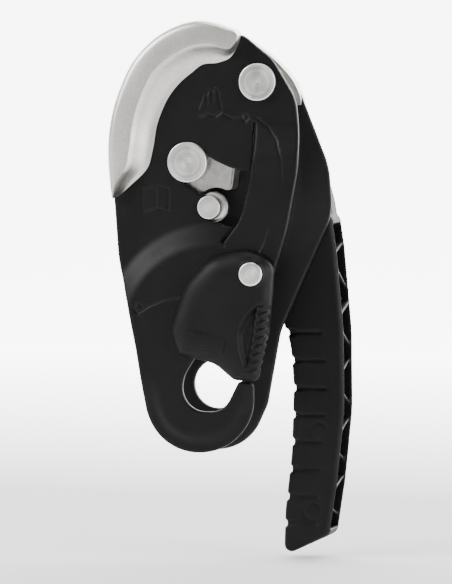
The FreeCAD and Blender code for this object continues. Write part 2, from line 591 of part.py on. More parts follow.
def moving_side_plate():
    """Formed plate: low round the window, raised below it and in the band at the right."""
    outer = size("low_outer")
    inner = size("low_inner")
    crown = size("raised_outer")
    under = size("raised_inner")
    shift = size("step_thickness_shift")
    reach = size("step_reach")
    near = size("step_inner_radius")
    far = size("step_outer_radius")
    profile = polygon([(0, -crown), (near, -crown), (far, -outer), (reach, -outer),
                       (reach, -inner), (far - shift, -inner), (near - shift, -under),
                       (0, -under)])
    sketch = plain_sketch("round_step_profile", FreeCAD.Rotation(), [profile])
    sketch.setExpression("Placement.Base.x", ref("step_centre_x"))
    sketch.setExpression("Placement.Base.z", ref("step_centre_z"))
    round_slab = doc.addObject("Part::Revolution", "round_slab")
    round_slab.Source = sketch
    round_slab.Axis = Vector(0, -1, 0)
    round_slab.Base = Vector(STEP_CENTRE[0], 0, STEP_CENTRE[1])
    round_slab.Angle = 180
    round_slab.Solid = True
    section = polygon([(-reach, -outer), (-far, -outer), (-near, -crown), (near, -crown),
                       (far, -outer), (reach, -outer), (reach, -inner), (far - shift, -inner),
                       (near - shift, -under), (shift - near, -under), (shift - far, -inner),
                       (-reach, -inner)])
    sketch = plain_sketch("lower_step_profile", FreeCAD.Rotation(), [section])
    sketch.setExpression("Placement.Base.x", ref("step_centre_x"))
    sketch.setExpression("Placement.Base.z", ref("step_centre_z"))
    lower_slab = doc.addObject("Part::Extrusion", "lower_slab")
    lower_slab.Base = sketch
    lower_slab.DirMode = "Custom"
    lower_slab.Dir = Vector(0, 0, -1)
    lower_slab.setExpression("LengthFwd", ref("lower_step_length"))
    lower_slab.Solid = True
    stepped_slab = fuse("stepped_slab", round_slab, lower_slab)

    low = size("band_low_bottom")
    high = size("band_raised_top")
    top = size("band_top")
    bottom = size("band_bottom")
    profile = polygon([(-crown, bottom), (-crown, high), (-outer, low), (-outer, top),
                       (-inner, top), (-inner, low - shift), (-under, high - shift),
                       (-under, bottom)])
    sketch = plain_sketch("band_step_profile", TO_RIGHT, [profile])
    sketch.setExpression("Placement.Base.x", ref("band_left"))
    band_slab = doc.addObject("Part::Extrusion", "band_slab")
    band_slab.Base = sketch
    band_slab.DirMode = "Custom"
    band_slab.Dir = Vector(1, 0, 0)
    band_slab.setExpression("LengthFwd", ref("band_width"))
    band_slab.Solid = True

    def blank(name):
        return front_prism(name, [rounded(MOVING_PLATE)], (), "plate_blank", "plate_blank")

    behind = front_prism("behind_band", [rounded(BEHIND_BAND)], (), "plate_blank", "plate_blank")
    left_blank = boolean("Cut", "left_blank", blank("left_outline"), behind)
    slots = []
    for name, place in (("axle_slot", AXLE), ("post_slot", POST)):
        away_x = place[0] - PIVOT[0]
        away_z = place[1] - PIVOT[1]
        angle = math.degrees(math.atan2(away_z, away_x))
        outline = ring_slot(math.hypot(away_x, away_z), size(name + "_half_width"),
                            angle, angle + size(name + "_span"), PIVOT)
        slots.append(front_prism(name, [outline], (), "plate_blank", "plate_blank"))
    window = fuse("window", slots[0], slots[1])
    left_open = boolean("Cut", "left_open", left_blank, window)
    left = boolean("Common", "left_part", left_open, stepped_slab)

    band_outline = front_prism("band_outline", [rounded(BAND)], (), "plate_blank", "plate_blank")
    band_blank = boolean("Common", "band_blank", blank("right_outline"), band_outline)
    band = boolean("Common", "band_part", band_blank, band_slab)
    whole = fuse("whole_plate", left, band)

    holes = front_prism("moving_plate_holes", [], [
        (PIVOT, "shank_hole_radius"), (GATE, "gate_rivet_hole_radius"),
        (LIP_RIVETS[0], "rivet_radius"), (LIP_RIVETS[1], "rivet_radius"),
        (LIP_RIVETS[2], "rivet_radius")], "plate_blank", "plate_blank")
    plate = boolean("Cut", "moving_side_plate", whole, holes)
    plate.Label = "moving_side_plate"
    doc.recompute()
    SUB_PARTS.append(plate)


def friction_lip(label, stations, prefix, plate):
    """A rope-bearing rim, lofted through sections across it: a broad outer band, a crest and a
    cove down to the plate. Where its narrow ends meet the plate's edge, the plate cuts it."""
    seat = size(prefix + "_seat")
    overlap = size(prefix + "_overlap")
    edge = size(prefix + "_edge")
    shoulder = size(prefix + "_shoulder")
    crest = size(prefix + "_crest")
    toe = size(prefix + "_toe")
    step = 0.17
    sections = []
    for outer_x, outer_z, inner_x, inner_z, crest_at in stations:
        outline = [(0.0, overlap), (0.0, edge), (0.12, shoulder), (crest_at, crest),
                   (crest_at + 0.12, seat + (crest - seat) * 0.62),
                   ((crest_at + 1) / 2 + 0.08, toe), (1.0, toe), (1.0, seat), (step, seat),
                   (step, overlap)]
        points = [Vector(outer_x + (inner_x - outer_x) * across, -depth,
                         outer_z + (inner_z - outer_z) * across)
                  for across, depth in outline]
        sections.append(Part.makePolygon(points + points[:1]))
    blank = doc.addObject("Part::Feature", label + "_blank")
    blank.Shape = Part.makeLoft(sections, True, True)
    lip = boolean("Cut", label, blank, plate)
    lip.Label = label
    doc.recompute()
    SUB_PARTS.append(lip)


def moving_side_hardware():
    group_of_rivets("front_lip_rivets", LIP_RIVETS, [
        (None, "lip_rivet_front"), ("lip_rivet_radius", "lip_rivet_front"),
        ("lip_rivet_radius", "lip_rivet_seat"), ("lip_rivet_head_radius", "lip_rivet_seat"),
        ("lip_rivet_head_radius", "lip_rivet_head_back"), (None, "lip_rivet_head_back")])
    turned("gate_pivot_rivet", ("gate_x", "gate_z"), [
        (None, "gate_rivet_front"), ("gate_rivet_face_radius", "gate_rivet_front"),
        ("gate_rivet_head_radius", "gate_rivet_edge"),
        ("gate_rivet_head_radius", "gate_rivet_head_back"),
        ("gate_rivet_radius", "gate_rivet_head_back"),
        ("gate_rivet_radius", "gate_rivet_rear_front"),
        ("gate_rivet_rear_radius", "gate_rivet_rear_front"),
        ("gate_rivet_rear_radius", "gate_rivet_rear_back"), (None, "gate_rivet_rear_back")])


def gate():
    shell = new_body("gate_shell")
    sketch = face_sketch(shell, "gate_outline", "gate_back", [rounded(GATE_DOME)])
    block = pad(shell, sketch, "gate_depth")
    front_edges = []
    for number, edge in enumerate(block.Shape.Edges, start=1):
        box = edge.BoundBox
        if box.YMax < -size("gate_front") + 1e-3:
            front_edges.append("Edge%d" % number)
    crown = shell.newObject("PartDesign::Fillet", "gate_crown")
    crown.Base = (block, front_edges)
    crown.setExpression("Radius", ref("gate_edge_fillet"))
    doc.recompute()
    hollow = face_sketch(shell, "gate_hollow", "gate_back", [rounded(shrunk(GATE_DOME, 0.86))])
    pocket(shell, hollow, "gate_hollow_depth", to_front=True)
    notch = face_sketch(shell, "arm_notch", "gate_back", [rounded(shrunk(GATE_ARM, 1.04))])
    pocket(shell, notch, "arm_notch_depth", to_front=True)
    notch = face_sketch(shell, "finger_notch", "gate_back", [rounded(shrunk(GATE_FINGER, 1.08))])
    pocket(shell, notch, "finger_notch_depth", to_front=True)
    hole = face_sketch(shell, "gate_rivet_hole", "gate_front", (),
                       [(GATE, "gate_boss_hole_radius")])
    pocket(shell, hole, "gate_depth")

    tongue = new_body("gate_tongue")
    sketch = face_sketch(tongue, "arm_outline", "tongue_back", [rounded(GATE_ARM)],
                         [(GATE, "gate_boss_hole_radius")])
    pad(tongue, sketch, "tongue_thickness")
    sketch = face_sketch(tongue, "finger_outline", "finger_back", [rounded(GATE_FINGER)])
    pad(tongue, sketch, "finger_thickness")
    torsion_spring("gate_spring", ("gate_x", "gate_z"), "gate")


# ---------------------------------------------------------------- cam


def cam():
    body = new_body("cam_body")
    sketch = face_sketch(body, "cam_outline", "cam_back", [rounded(CAM)],
                         [(AXLE, "cam_bore_radius")])
    pad(body, sketch, "cam_thickness")
    ring = face_sketch(body, "spring_ring", "cam_front", (),
                       [(AXLE, "cam_spring_inner"), (AXLE, "cam_spring_outer")])
    pocket(body, ring, "cam_spring_depth")
    middle = (size("cam_dog_inner") + size("cam_dog_outer")) / 2
    half_width = (size("cam_dog_outer") - size("cam_dog_inner")) / 2
    recess = face_sketch(body, "dog_recess", "cam_back",
                         [ring_slot(middle, half_width, -34, 88, AXLE)])
    pocket(body, recess, "cam_dog_depth", to_front=True)

    cheek = new_body("cam_cheek_plate")
    sketch = face_sketch(cheek, "cheek_outline", "cheek_back", [rounded(shrunk(CAM, 0.94))],
                         [(AXLE, "cheek_hole_radius")])
    pad(cheek, sketch, "cheek_thickness")

    bush = new_body("cam_bush")
    sketch = face_sketch(bush, "cam_bush_ring", "cam_bush_back", (),
                         [(AXLE, "bush_inner_radius"), (AXLE, "bush_outer_radius")])
    pad(bush, sketch, "cam_bush_length")
    torsion_spring("cam_return_spring", ("axle_x", "axle_z"), "cam")


# ---------------------------------------------------------------- handle


def screw_places():
    return [on_circle(AXLE, size("screw_circle"), angle) for angle in SCREW_ANGLES]


def handle_arm():
    """The fan behind the fixed plate, the boss round the axle, and the ribbed grip."""
    hub = new_body("handle_arm")
    sketch = face_sketch(hub, "fan_outline", "handle_back", [rounded(HANDLE_FAN)])
    pad(hub, sketch, "fan_depth")
    sketch = face_sketch(hub, "arm_outline", "handle_back", [rounded(HANDLE_ARM)])
    pad(hub, sketch, "arm_depth")
    sketch = face_sketch(hub, "rear_lip_clearance", "arm_front", (),
                         [(AXLE, "lip_clear_inner"), (AXLE, "lip_clear_outer")])
    pocket(hub, sketch, "lip_clear_depth")
    sketch = face_sketch(hub, "boss_outline", "spring_pocket_back", (), [(AXLE, "boss_radius")])
    pad(hub, sketch, "boss_depth")
    sketch = face_sketch(hub, "hub_recess", "spring_pocket_back", (),
                         [(AXLE, "hub_recess_radius")])
    pocket(hub, sketch, "hub_recess_depth")
    sketch = face_sketch(hub, "spring_pocket", "spring_pocket_back", (),
                         [(AXLE, "spring_pocket_inner"), (AXLE, "spring_pocket_outer")])
    pocket(hub, sketch, "spring_pocket_depth", to_front=True)
    sketch = face_sketch(hub, "drive_recess", "drive_front", (), [(AXLE, "drive_recess_radius")])
    pocket(hub, sketch, "drive_thickness")
    sketch = face_sketch(hub, "axle_bore", "drive_front", (), [(AXLE, "handle_bore_radius")])
    pocket(hub, sketch, "arm_depth")
    holes = [(place, "screw_radius") for place in screw_places()]
    sketch = face_sketch(hub, "screw_holes", "screw_tip", (), holes)
    pocket(hub, sketch, "arm_depth")
    sketch = face_sketch(hub, "channel", "channel_front", [rounded(HANDLE_CHANNEL)])
    pocket(hub, sketch, "channel_depth")
    add_ribs(hub)


def add_ribs(hub):
    """Zigzag walls across the channel, kept a little inside the flanges' edges."""
    front = -size("channel_front") - 0.3
    back = -size("channel_front") + size("channel_depth") + 0.3
    edge_at = [(60, 48.6), (45, 50.0), (20, 51.6), (-10, 51.4), (-35, 49.4), (-58, 46.6)]
    for number, (front_z, back_z) in enumerate(RIB_ENDS):
        height = (front_z + back_z) / 2
        nearest = min(edge_at, key=lambda pair: abs(pair[0] - height))[1]
        sketch = hub.newObject("Sketcher::SketchObject", "rib_%d" % number)
        sketch.AttachmentSupport = [(origin_plane(hub, "YZ_Plane"), "")]
        sketch.MapMode = "FlatFace"
        sketch.AttachmentOffset = FreeCAD.Placement(Vector(0, 0, RIB_LEFT), FreeCAD.Rotation())
        half = RIB_HALF_THICKNESS
        fill_sketch(sketch, [polygon([(front, front_z - half), (back, back_z - half),
                                      (back, back_z + half), (front, front_z + half)])], ())
        rib = hub.newObject("PartDesign::Pad", "rib_pad_%d" % number)
        rib.Profile = sketch
        rib.Length = nearest - 0.6 - RIB_LEFT
        doc.recompute()


def handle_hardware():
    drive = new_body("handle_drive_plate")
    sketch = face_sketch(drive, "drive_outline", "drive_front", (),
                         [(AXLE, "drive_radius"), (AXLE, "drive_hole_radius")])
    feature = pad(drive, sketch, "drive_thickness")
    feature.Reversed = True
    doc.recompute()
    dog_place = on_circle(AXLE, size("dog_slot_radius"), size("dog_angle"))
    sketch = face_sketch(drive, "dog_outline", "dog_front", (), [(dog_place, "dog_radius")])
    dog = drive.newObject("PartDesign::Pad", "dog")
    dog.Profile = sketch
    dog.Reversed = True
    dog.setExpression("Length", ref("dog_length"))
    doc.recompute()

    bush = new_body("handle_bush")
    sketch = face_sketch(bush, "handle_bush_ring", "handle_bush_front", (),
                         [(AXLE, "bush_inner_radius"), (AXLE, "handle_bush_radius")])
    feature = pad(bush, sketch, "handle_bush_length")
    feature.Reversed = True
    doc.recompute()
    torsion_spring("handle_return_spring", ("axle_x", "axle_z"), "handle")

    cover = new_body("hub_cover")
    holes = [(place, "screw_radius") for place in screw_places()]
    sketch = face_sketch(cover, "cover_outline", "cover_front", (),
                         [(AXLE, "cover_radius"), (AXLE, "cover_hole_radius")] + holes)
    feature = pad(cover, sketch, "cover_thickness")
    feature.Reversed = True
    doc.recompute()
    group_of_rivets("hub_cover_screws", screw_places(), [
        (None, "screw_tip"), ("screw_shank_radius", "screw_tip"),
        ("screw_shank_radius", "screw_seat"),
        ("screw_head_radius", "screw_seat"), ("screw_head_radius", "screw_back"),
        (None, "screw_back")])


fixed_side_plate()
friction_block()
fixed_side_hardware()
rear_lip_rivets()
moving_side_plate()
friction_lip("front_friction_lip", LIP_STATIONS, "lip", part_named("moving_side_plate"))
friction_lip("rear_friction_lip", REAR_LIP_STATIONS, "rear_lip", part_named("fixed_side_plate"))
moving_side_hardware()
gate()
cam()
handle_arm()
handle_hardware()
doc.recompute()

# ---------------------------------------------------------------- checks and files

for item in doc.Objects:
    if "Invalid" in item.State or "Error" in item.State:
        raise RuntimeError("%s failed: %s" % (item.Label, item.State))

os.makedirs("parts", exist_ok=True)
for item in SUB_PARTS:
    if item.Shape.isNull() or not item.Shape.isValid() or item.Shape.Volume < 1.0:
        raise RuntimeError("%s has no valid shape" % item.Label)
    print("%-24s %8.1f mm3, %d solids" % (item.Label, item.Shape.Volume, len(item.Shape.Solids)))
    item.Shape.exportStep("parts/%s.step" % item.Label)
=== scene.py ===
import math

import bmesh
import bpy
import numpy as np
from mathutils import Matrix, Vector
from mathutils.geometry import delaunay_2d_cdt


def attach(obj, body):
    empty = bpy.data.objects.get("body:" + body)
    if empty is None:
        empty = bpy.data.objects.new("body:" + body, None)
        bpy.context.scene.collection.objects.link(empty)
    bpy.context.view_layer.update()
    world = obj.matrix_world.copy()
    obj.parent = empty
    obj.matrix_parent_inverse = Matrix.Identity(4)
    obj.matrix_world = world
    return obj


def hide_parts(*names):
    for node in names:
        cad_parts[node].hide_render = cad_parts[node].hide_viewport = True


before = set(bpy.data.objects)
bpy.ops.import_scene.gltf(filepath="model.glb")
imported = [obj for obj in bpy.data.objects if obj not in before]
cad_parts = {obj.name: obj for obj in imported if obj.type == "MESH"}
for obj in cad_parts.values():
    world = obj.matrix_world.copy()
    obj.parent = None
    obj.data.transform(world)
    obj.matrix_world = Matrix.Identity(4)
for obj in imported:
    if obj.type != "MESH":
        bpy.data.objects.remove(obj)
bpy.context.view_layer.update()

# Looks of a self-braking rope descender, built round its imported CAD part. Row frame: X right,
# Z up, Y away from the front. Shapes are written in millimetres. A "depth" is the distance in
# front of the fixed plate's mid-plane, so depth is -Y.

MM = 0.001

# ---------------------------------------------------------------- places and levels, mm

PIVOT = (20.4, 123.5)
AXLE = (-9.0, 91.0)
POST = (0.1, 72.7)
GATE = (20.0, 46.3)
FIXED_FRONT = 1.4
FIXED_BACK = -1.4
LOW = 15.9
RAISED = 20.3
SHEET_THICKNESS = 2.5
STEP_CENTRE = (2.0, 20.0)
GATE_BACK = 20.5
GATE_HEIGHT = 6.5
CONNECTOR_RADIUS = 10.0
PIVOT_PIN_RADIUS = 5.0
GATE_RIVET_RADIUS = 3.0
POST_FOOT_RADIUS = 3.5
AXLE_OPENING_RADIUS = 13.3
AXLE_SLOT_HALF_WIDTH = 7.3
AXLE_SLOT_SPAN = 44
POST_SLOT_HALF_WIDTH = 4.9
POST_SLOT_SPAN = 24

# Each corner is (x, z, rounding radius).
MOVING_PLATE = [
    (-40.4, 80.0, 3), (-37.0, 96.0, 30), (-33.2, 119.5, 40), (-20.5, 137.0, 40),
    (-3.5, 143.4, 30), (14.0, 142.6, 7), (26.3, 132.6, 20), (35.9, 116.6, 18),
    (38.3, 92.0, 60), (33.0, 64.0, 60), (27.3, 45.0, 25), (26.6, 30.0, 15), (25.0, 18.3, 2.5),
    (11.16, 18.3, 28), (2.6, 24.3, 3), (-10.3, 3.3, 14), (-10.0, -10.0, 10),
    (7.0, -10.2, 9.5), (13.2, 2.4, 1.6), (19.3, 2.4, 2.6), (19.2, -27.0, 23),
    (-23.0, -27.0, 22), (-29.9, 14.5, 60), (-33.6, 33.0, 30), (-38.2, 50.0, 60),
]
FIXED_PLATE = [
    (-40.4, 80.0, 3), (-37.0, 96.0, 30), (-33.2, 119.5, 40), (-20.5, 137.0, 40),
    (-3.5, 143.4, 30), (13.0, 138.2, 20), (24.5, 129.0, 20), (34.6, 118.4, 3),
    (46.3, 89.0, 34), (47.6, 70.0, 24), (26.2, 22.0, 25), (20.8, -8.0, 14), (12.0, -27.0, 20),
    (-23.0, -27.0, 22), (-29.9, 14.5, 60), (-33.6, 33.0, 30), (-38.2, 50.0, 60),
]
BAND = [
    (19.0, 113.0, 1), (19.5, 97.0, 10), (17.6, 82.0, 30), (14.0, 68.0, 20), (6.9, 58.6, 1),
    (9.0, 45.0, 1), (24.0, 40.0, 1), (60.0, 40.0, 1), (60.0, 113.0, 1),
]
BEHIND_BAND = [
    (18.3, 107.0, 0), (18.8, 97.0, 10), (16.8, 82.0, 30), (13.2, 68.4, 20), (5.8, 58.8, 0),
    (7.6, 57.4, 0), (20.0, 48.0, 0), (60.0, 34.0, 0), (60.0, 107.0, 0),
]
GATE_DOME = [
    (-11.0, 13.0, 3), (-15.0, 24.0, 14), (-8.5, 41.5, 20), (2.0, 53.0, 16), (17.0, 56.3, 14),
    (28.6, 52.0, 8), (27.6, 36.0, 30), (25.3, 18.0, 30), (21.8, 2.9, 3), (12.0, 3.0, 4),
    (4.0, 9.6, 12),
]
THUMB_SCOOP = [
    (23.4, 36.5, 4), (16.8, 28.9, 8), (14.0, 22.6, 8), (14.4, 15.0, 6), (16.8, 8.0, 3),
    (19.6, 8.0, 2), (21.4, 20.0, 12), (23.2, 33.0, 5),
]
HANDLE_FAN = [
    (-13.0, 112.0, 14), (6.0, 113.0, 20), (26.5, 119.0, 5), (32.4, 114.0, 4), (39.3, 94.0, 40),
    (44.8, 75.0, 40), (48.4, 52.0, 20), (40.0, 40.0, 6), (24.0, 36.0, 10), (10.0, 64.0, 30),
    (-8.0, 69.5, 20), (-30.5, 74.0, 18), (-30.5, 103.0, 18),
]
HANDLE_ARM = [
    (45.6, 78.0, 5), (48.9, 56.0, 60), (52.0, 22.0, 80), (52.4, -10.0, 80), (49.4, -40.0, 80),
    (46.1, -61.5, 4), (26.9, -70.5, 3.0), (27.4, -52.0, 30), (30.1, -28.0, 50),
    (30.9, 0.0, 50), (29.6, 16.0, 30), (22.0, 40.0, 10), (29.0, 56.0, 20),
]
GRIP_GROOVES = (21.3, 9.9, -1.5, -12.4, -23.4, -34.7, -46.0, -57.0)

# Stations of the lips: outer edge, inner edge, and where the crest lies between them.
FRONT_LIP = [
    (-39.3, 76.2, -37.9, 77.0, 0.40), (-40.3, 81.0, -32.9, 81.4, 0.35),
    (-41.0, 88.0, -26.0, 88.3, 0.52), (-41.3, 96.0, -23.7, 95.6, 0.56),
    (-40.3, 107.0, -21.8, 106.0, 0.56), (-36.6, 120.0, -17.6, 116.2, 0.54),
    (-29.6, 133.4, -12.6, 122.8, 0.52), (-19.0, 143.0, -7.4, 127.2, 0.55),
    (-6.0, 148.0, -2.0, 130.8, 0.58), (3.0, 147.4, 4.6, 131.6, 0.60),
    (9.0, 145.4, 9.6, 134.2, 0.80), (12.4, 143.9, 12.0, 138.2, 0.93),
    (13.3, 142.6, 12.8, 139.6, 0.93),
]
REAR_LIP = [
    (-39.3, 76.2, -37.9, 77.0, 0.40), (-40.3, 81.0, -32.9, 81.4, 0.35),
    (-41.0, 88.0, -32.4, 88.2, 0.52), (-41.3, 96.0, -32.2, 95.5, 0.56),
    (-40.3, 107.0, -29.6, 104.8, 0.56), (-36.6, 120.0, -22.0, 116.2, 0.54),
    (-29.6, 133.4, -16.6, 124.8, 0.52), (-19.0, 143.0, -10.4, 130.2, 0.55),
    (-5.0, 147.0, -3.0, 133.4, 0.58), (6.0, 144.0, 2.0, 131.9, 0.58),
    (16.8, 138.0, 9.5, 127.6, 0.62), (26.6, 130.0, 18.8, 121.6, 0.60),
    (32.6, 122.4, 26.4, 117.6, 0.60), (34.9, 116.4, 29.0, 114.6, 0.60),
    (34.9, 114.2, 30.0, 113.4, 0.60),
]

# Shallow lines pressed into the moving plate: a rope path and plain pictograms, no letters.
ENGRAVED = [
    [(19.5, 109.0), (24.5, 105.5), (28.4, 100.0), (30.8, 92.0), (31.3, 84.0)],
    [(25.2, 64.0), (23.6, 58.5), (21.0, 54.0)],
    [(-28.0, 80.0), (-22.5, 81.0), (-17.0, 80.0), (-17.0, 71.0), (-22.5, 72.0), (-28.0, 71.0),
     (-28.0, 80.0)],
    [(-22.5, 81.0), (-22.5, 72.0)],
    [(-29.0, 29.5), (-24.0, 32.5), (-18.0, 35.0), (-11.5, 36.0)],
    [(-29.0, 29.5), (-30.6, 31.2), (-29.6, 33.4), (-27.2, 32.6), (-26.8, 30.6), (-29.0, 29.5)],
    [(-4.0, 109.5), (-1.0, 110.6), (2.6, 109.4), (5.2, 111.6), (4.4, 115.4), (3.6, 119.6)],
    [(3.6, 119.6), (2.4, 121.2), (1.4, 119.4), (1.4, 115.6)],
    [(1.4, 118.6), (0.0, 120.4), (-1.0, 118.2), (-0.8, 115.0)],
    [(-1.0, 117.2), (-2.6, 118.4), (-3.2, 115.8), (-4.6, 112.6)],
    [(6.6, 110.2), (9.6, 108.6), (13.2, 109.0)],
    [(13.2, 109.0), (14.8, 110.6), (16.6, 109.2), (15.0, 107.4), (13.2, 109.0)],
]


# ---------------------------------------------------------------- plane geometry


def rounded(corners, spacing=0.5):
    """Points of a closed outline with its corners rounded, as the CAD part rounds them."""
    count = len(corners)
    points = [Vector(corner[:2]) for corner in corners]
    halves = []
    wanted = []
    for i in range(count):
        before = (points[i - 1] - points[i]).normalized()
        after = (points[(i + 1) % count] - points[i]).normalized()
        halves.append(math.acos(max(-1, min(1, before.dot(after)))) / 2)
        wanted.append(corners[i][2] / math.tan(halves[i]))
    reaches = list(wanted)
    for i in range(count):
        following = (i + 1) % count
        room = 0.99 * (points[following] - points[i]).length
        both = wanted[i] + wanted[following]
        if both > room:
            reaches[i] = min(reaches[i], wanted[i] * room / both)
            reaches[following] = min(reaches[following], wanted[following] * room / both)
    outline = []
    for i in range(count):
        before = (points[i - 1] - points[i]).normalized()
        after = (points[(i + 1) % count] - points[i]).normalized()
        radius = reaches[i] * math.tan(halves[i])
        if radius < 1e-3:
            outline.append(points[i])
            continue
        centre = points[i] + (before + after).normalized() * (radius / math.sin(halves[i]))
        start = points[i] + before * reaches[i] - centre
        end = points[i] + after * reaches[i] - centre
        first = math.atan2(start.y, start.x)
        sweep = math.remainder(math.atan2(end.y, end.x) - first, 2 * math.pi)
        steps = max(2, math.ceil(abs(sweep) * radius / spacing))
        for step in range(steps + 1):
            turn = first + sweep * step / steps
            outline.append(centre + Vector((math.cos(turn), math.sin(turn))) * radius)
    return np.array([tuple(point) for point in outline])


def loop_distance(points, loop):
    """Signed distance of points from a closed loop, negative inside it."""
    nearest = np.full(len(points), np.inf)
    inside = np.zeros(len(points), bool)
    for start, end in zip(loop, np.roll(loop, -1, axis=0)):
        along = end - start
        length = along @ along
        if length < 1e-12:
            continue
        away = points - start
        share = np.clip(away @ along / length, 0, 1)
        gap = away - share[:, None] * along
        nearest = np.minimum(nearest, (gap ** 2).sum(axis=1))
        crosses = (start[1] > points[:, 1]) != (end[1] > points[:, 1])
        rise = along[1] if abs(along[1]) > 1e-12 else 1e-12
        crossing_x = start[0] + away[:, 1] / rise * along[0]
        inside ^= crosses & (points[:, 0] < crossing_x)
    return np.where(inside, -1, 1) * np.sqrt(nearest)


def line_distance(points, line):
    """Distance of points from an open line of straight parts."""
    nearest = np.full(len(points), np.inf)
    for start, end in zip(line, line[1:]):
        start = np.array(start)
        along = np.array(end) - start
        away = points - start
        share = np.clip(away @ along / (along @ along), 0, 1)
        gap = away - share[:, None] * along
        nearest = np.minimum(nearest, (gap ** 2).sum(axis=1))
    return np.sqrt(nearest)


def circle_distance(points, centre, radius):
    return np.hypot(points[:, 0] - centre[0], points[:, 1] - centre[1]) - radius


def slot_distance(points, middle, half_width, span):
    """Signed distance from a slot round the plate pivot that starts at a given middle."""
    radius = math.hypot(middle[0] - PIVOT[0], middle[1] - PIVOT[1])
    first = math.atan2(middle[1] - PIVOT[1], middle[0] - PIVOT[0])
    angle = np.arctan2(points[:, 1] - PIVOT[1], points[:, 0] - PIVOT[0])
    turn = np.clip((angle - first + math.pi) % (2 * math.pi) - math.pi, 0, math.radians(span))
    near_x = PIVOT[0] + radius * np.cos(first + turn)
    near_z = PIVOT[1] + radius * np.sin(first + turn)
    return np.hypot(points[:, 0] - near_x, points[:, 1] - near_z) - half_width


def smooth(low, high, value):
    share = np.clip((value - low) / (high - low), 0, 1)
    return share * share * (3 - 2 * share)


def edge_drop(inside, radius):
    """How far a rounded edge falls below the face, at a distance inside the outline."""
    short = np.clip(radius - inside, 0, radius)
    return radius - np.sqrt(radius ** 2 - short ** 2)


def contour(xs, zs, field, level):
    """Points and edges of the line on which a sampled field passes a level."""
    points = []
    numbers = {}
    edges = []
    low = field < level
    mixed = low[:-1, :-1].astype(int) + low[1:, :-1] + low[1:, 1:] + low[:-1, 1:]
    for i, j in np.argwhere((mixed > 0) & (mixed < 4)):
        corners = [(i, j), (i + 1, j), (i + 1, j + 1), (i, j + 1)]
        cuts = []
        for pair in zip(corners, corners[1:] + corners[:1]):
            first, second = sorted(pair)
            if low[first] == low[second]:
                continue
            if (first, second) not in numbers:
                before = field[first] - level
                share = before / (before - (field[second] - level))
                numbers[first, second] = len(points)
                points.append((xs[first[0]] + (xs[second[0]] - xs[first[0]]) * share,
                               zs[first[1]] + (zs[second[1]] - zs[first[1]]) * share))
            cuts.append(numbers[first, second])
        edges += [(cuts[k], cuts[k + 1]) for k in range(0, len(cuts) - 1, 2)]
    return points, edges


# ---------------------------------------------------------------- meshes


def add_piece(name, vertices, faces, crease=35):
    """An object from millimetre coordinates, with smooth shading up to an angle."""
    mesh = bpy.data.meshes.new(name)
    mesh.from_pydata([tuple(c * MM for c in vertex) for vertex in vertices], [], faces)
    work = bmesh.new()
    work.from_mesh(mesh)
    bmesh.ops.remove_doubles(work, verts=work.verts, dist=1e-6)
    bmesh.ops.recalc_face_normals(work, faces=work.faces)
    work.to_mesh(mesh)
    work.free()
    mesh.shade_smooth()
    mesh.set_sharp_from_angle(angle=math.radians(crease))
    piece = bpy.data.objects.new(name, mesh)
    bpy.context.scene.collection.objects.link(piece)
    return piece


def formed(name, region, box, front, back, rings, spacing, extra=(), step=0.5):
    """A solid from its plan view. region gives the signed distance from its outline. front and
    back give depths from points and their distance inside the outline. rings are the distances
    inside the outline that get a row of points, so that rounded edges stay smooth."""
    xs = np.arange(box[0] - 2 * step, box[1] + 2 * step, step)
    zs = np.arange(box[2] - 2 * step, box[3] + 2 * step, step)
    grid = np.stack(np.meshgrid(xs, zs, indexing="ij"), axis=-1).reshape(-1, 2)
    field = region(grid).reshape(len(xs), len(zs))
    points, edges = contour(xs, zs, field, 0.0)
    for ring in rings:
        points += contour(xs, zs, field, -ring)[0]
    stride = max(1, round(spacing / step))
    inner = field[::stride, ::stride] < -(rings[-1] + 0.45 * spacing)
    points += [(xs[i * stride], zs[j * stride]) for i, j in np.argwhere(inner)]
    points += list(extra)
    flat, _, triangles, *_ = delaunay_2d_cdt([Vector(p) for p in points], edges, [], 0, 0.01)
    flat = np.array([tuple(p) for p in flat])
    triangles = np.array(triangles)
    centres = flat[triangles].mean(axis=1)
    triangles = triangles[region(centres) < 0]
    inside = np.maximum(-region(flat), 0)
    count = len(flat)
    fronts = front(flat, inside)
    backs = back(flat, inside)
    vertices = [(x, -depth, z) for (x, z), depth in zip(flat, fronts)]
    vertices += [(x, -depth, z) for (x, z), depth in zip(flat, backs)]
    faces = [tuple(int(n) for n in t) for t in triangles]
    faces += [tuple(int(n) + count for n in t[::-1]) for t in triangles]
    sides = {}
    for a, b, c in triangles:
        for edge in ((a, b), (b, c), (c, a)):
            if edge[::-1] in sides:
                del sides[edge[::-1]]
            else:
                sides[edge] = True
    faces += [(int(b), int(a), int(a) + count, int(b) + count) for a, b in sides]
    return add_piece(name, vertices, faces)


def along_strokes(lines, offsets, spacing=0.5):
    """Points on both sides of pressed lines, so that the groove has its own mesh."""
    points = []
    for line in lines:
        for start, end in zip(line, line[1:]):
            start = Vector(start)
            along = Vector(end) - start
            side = Vector((-along.y, along.x)).normalized()
            steps = max(1, round(along.length / spacing))
            for k in range(steps + 1):
                for offset in offsets:
                    points.append(tuple(start + along * (k / steps) + side * offset))
    return points


def place(piece, body, slot_name, *nodes):
    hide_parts(*nodes)
    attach(piece, body)
    return piece


# ---------------------------------------------------------------- moving plate

plate_loop = rounded(MOVING_PLATE)
outer_loop = rounded(FIXED_PLATE)
band_loop = rounded(BAND)
behind_loop = rounded(BEHIND_BAND)


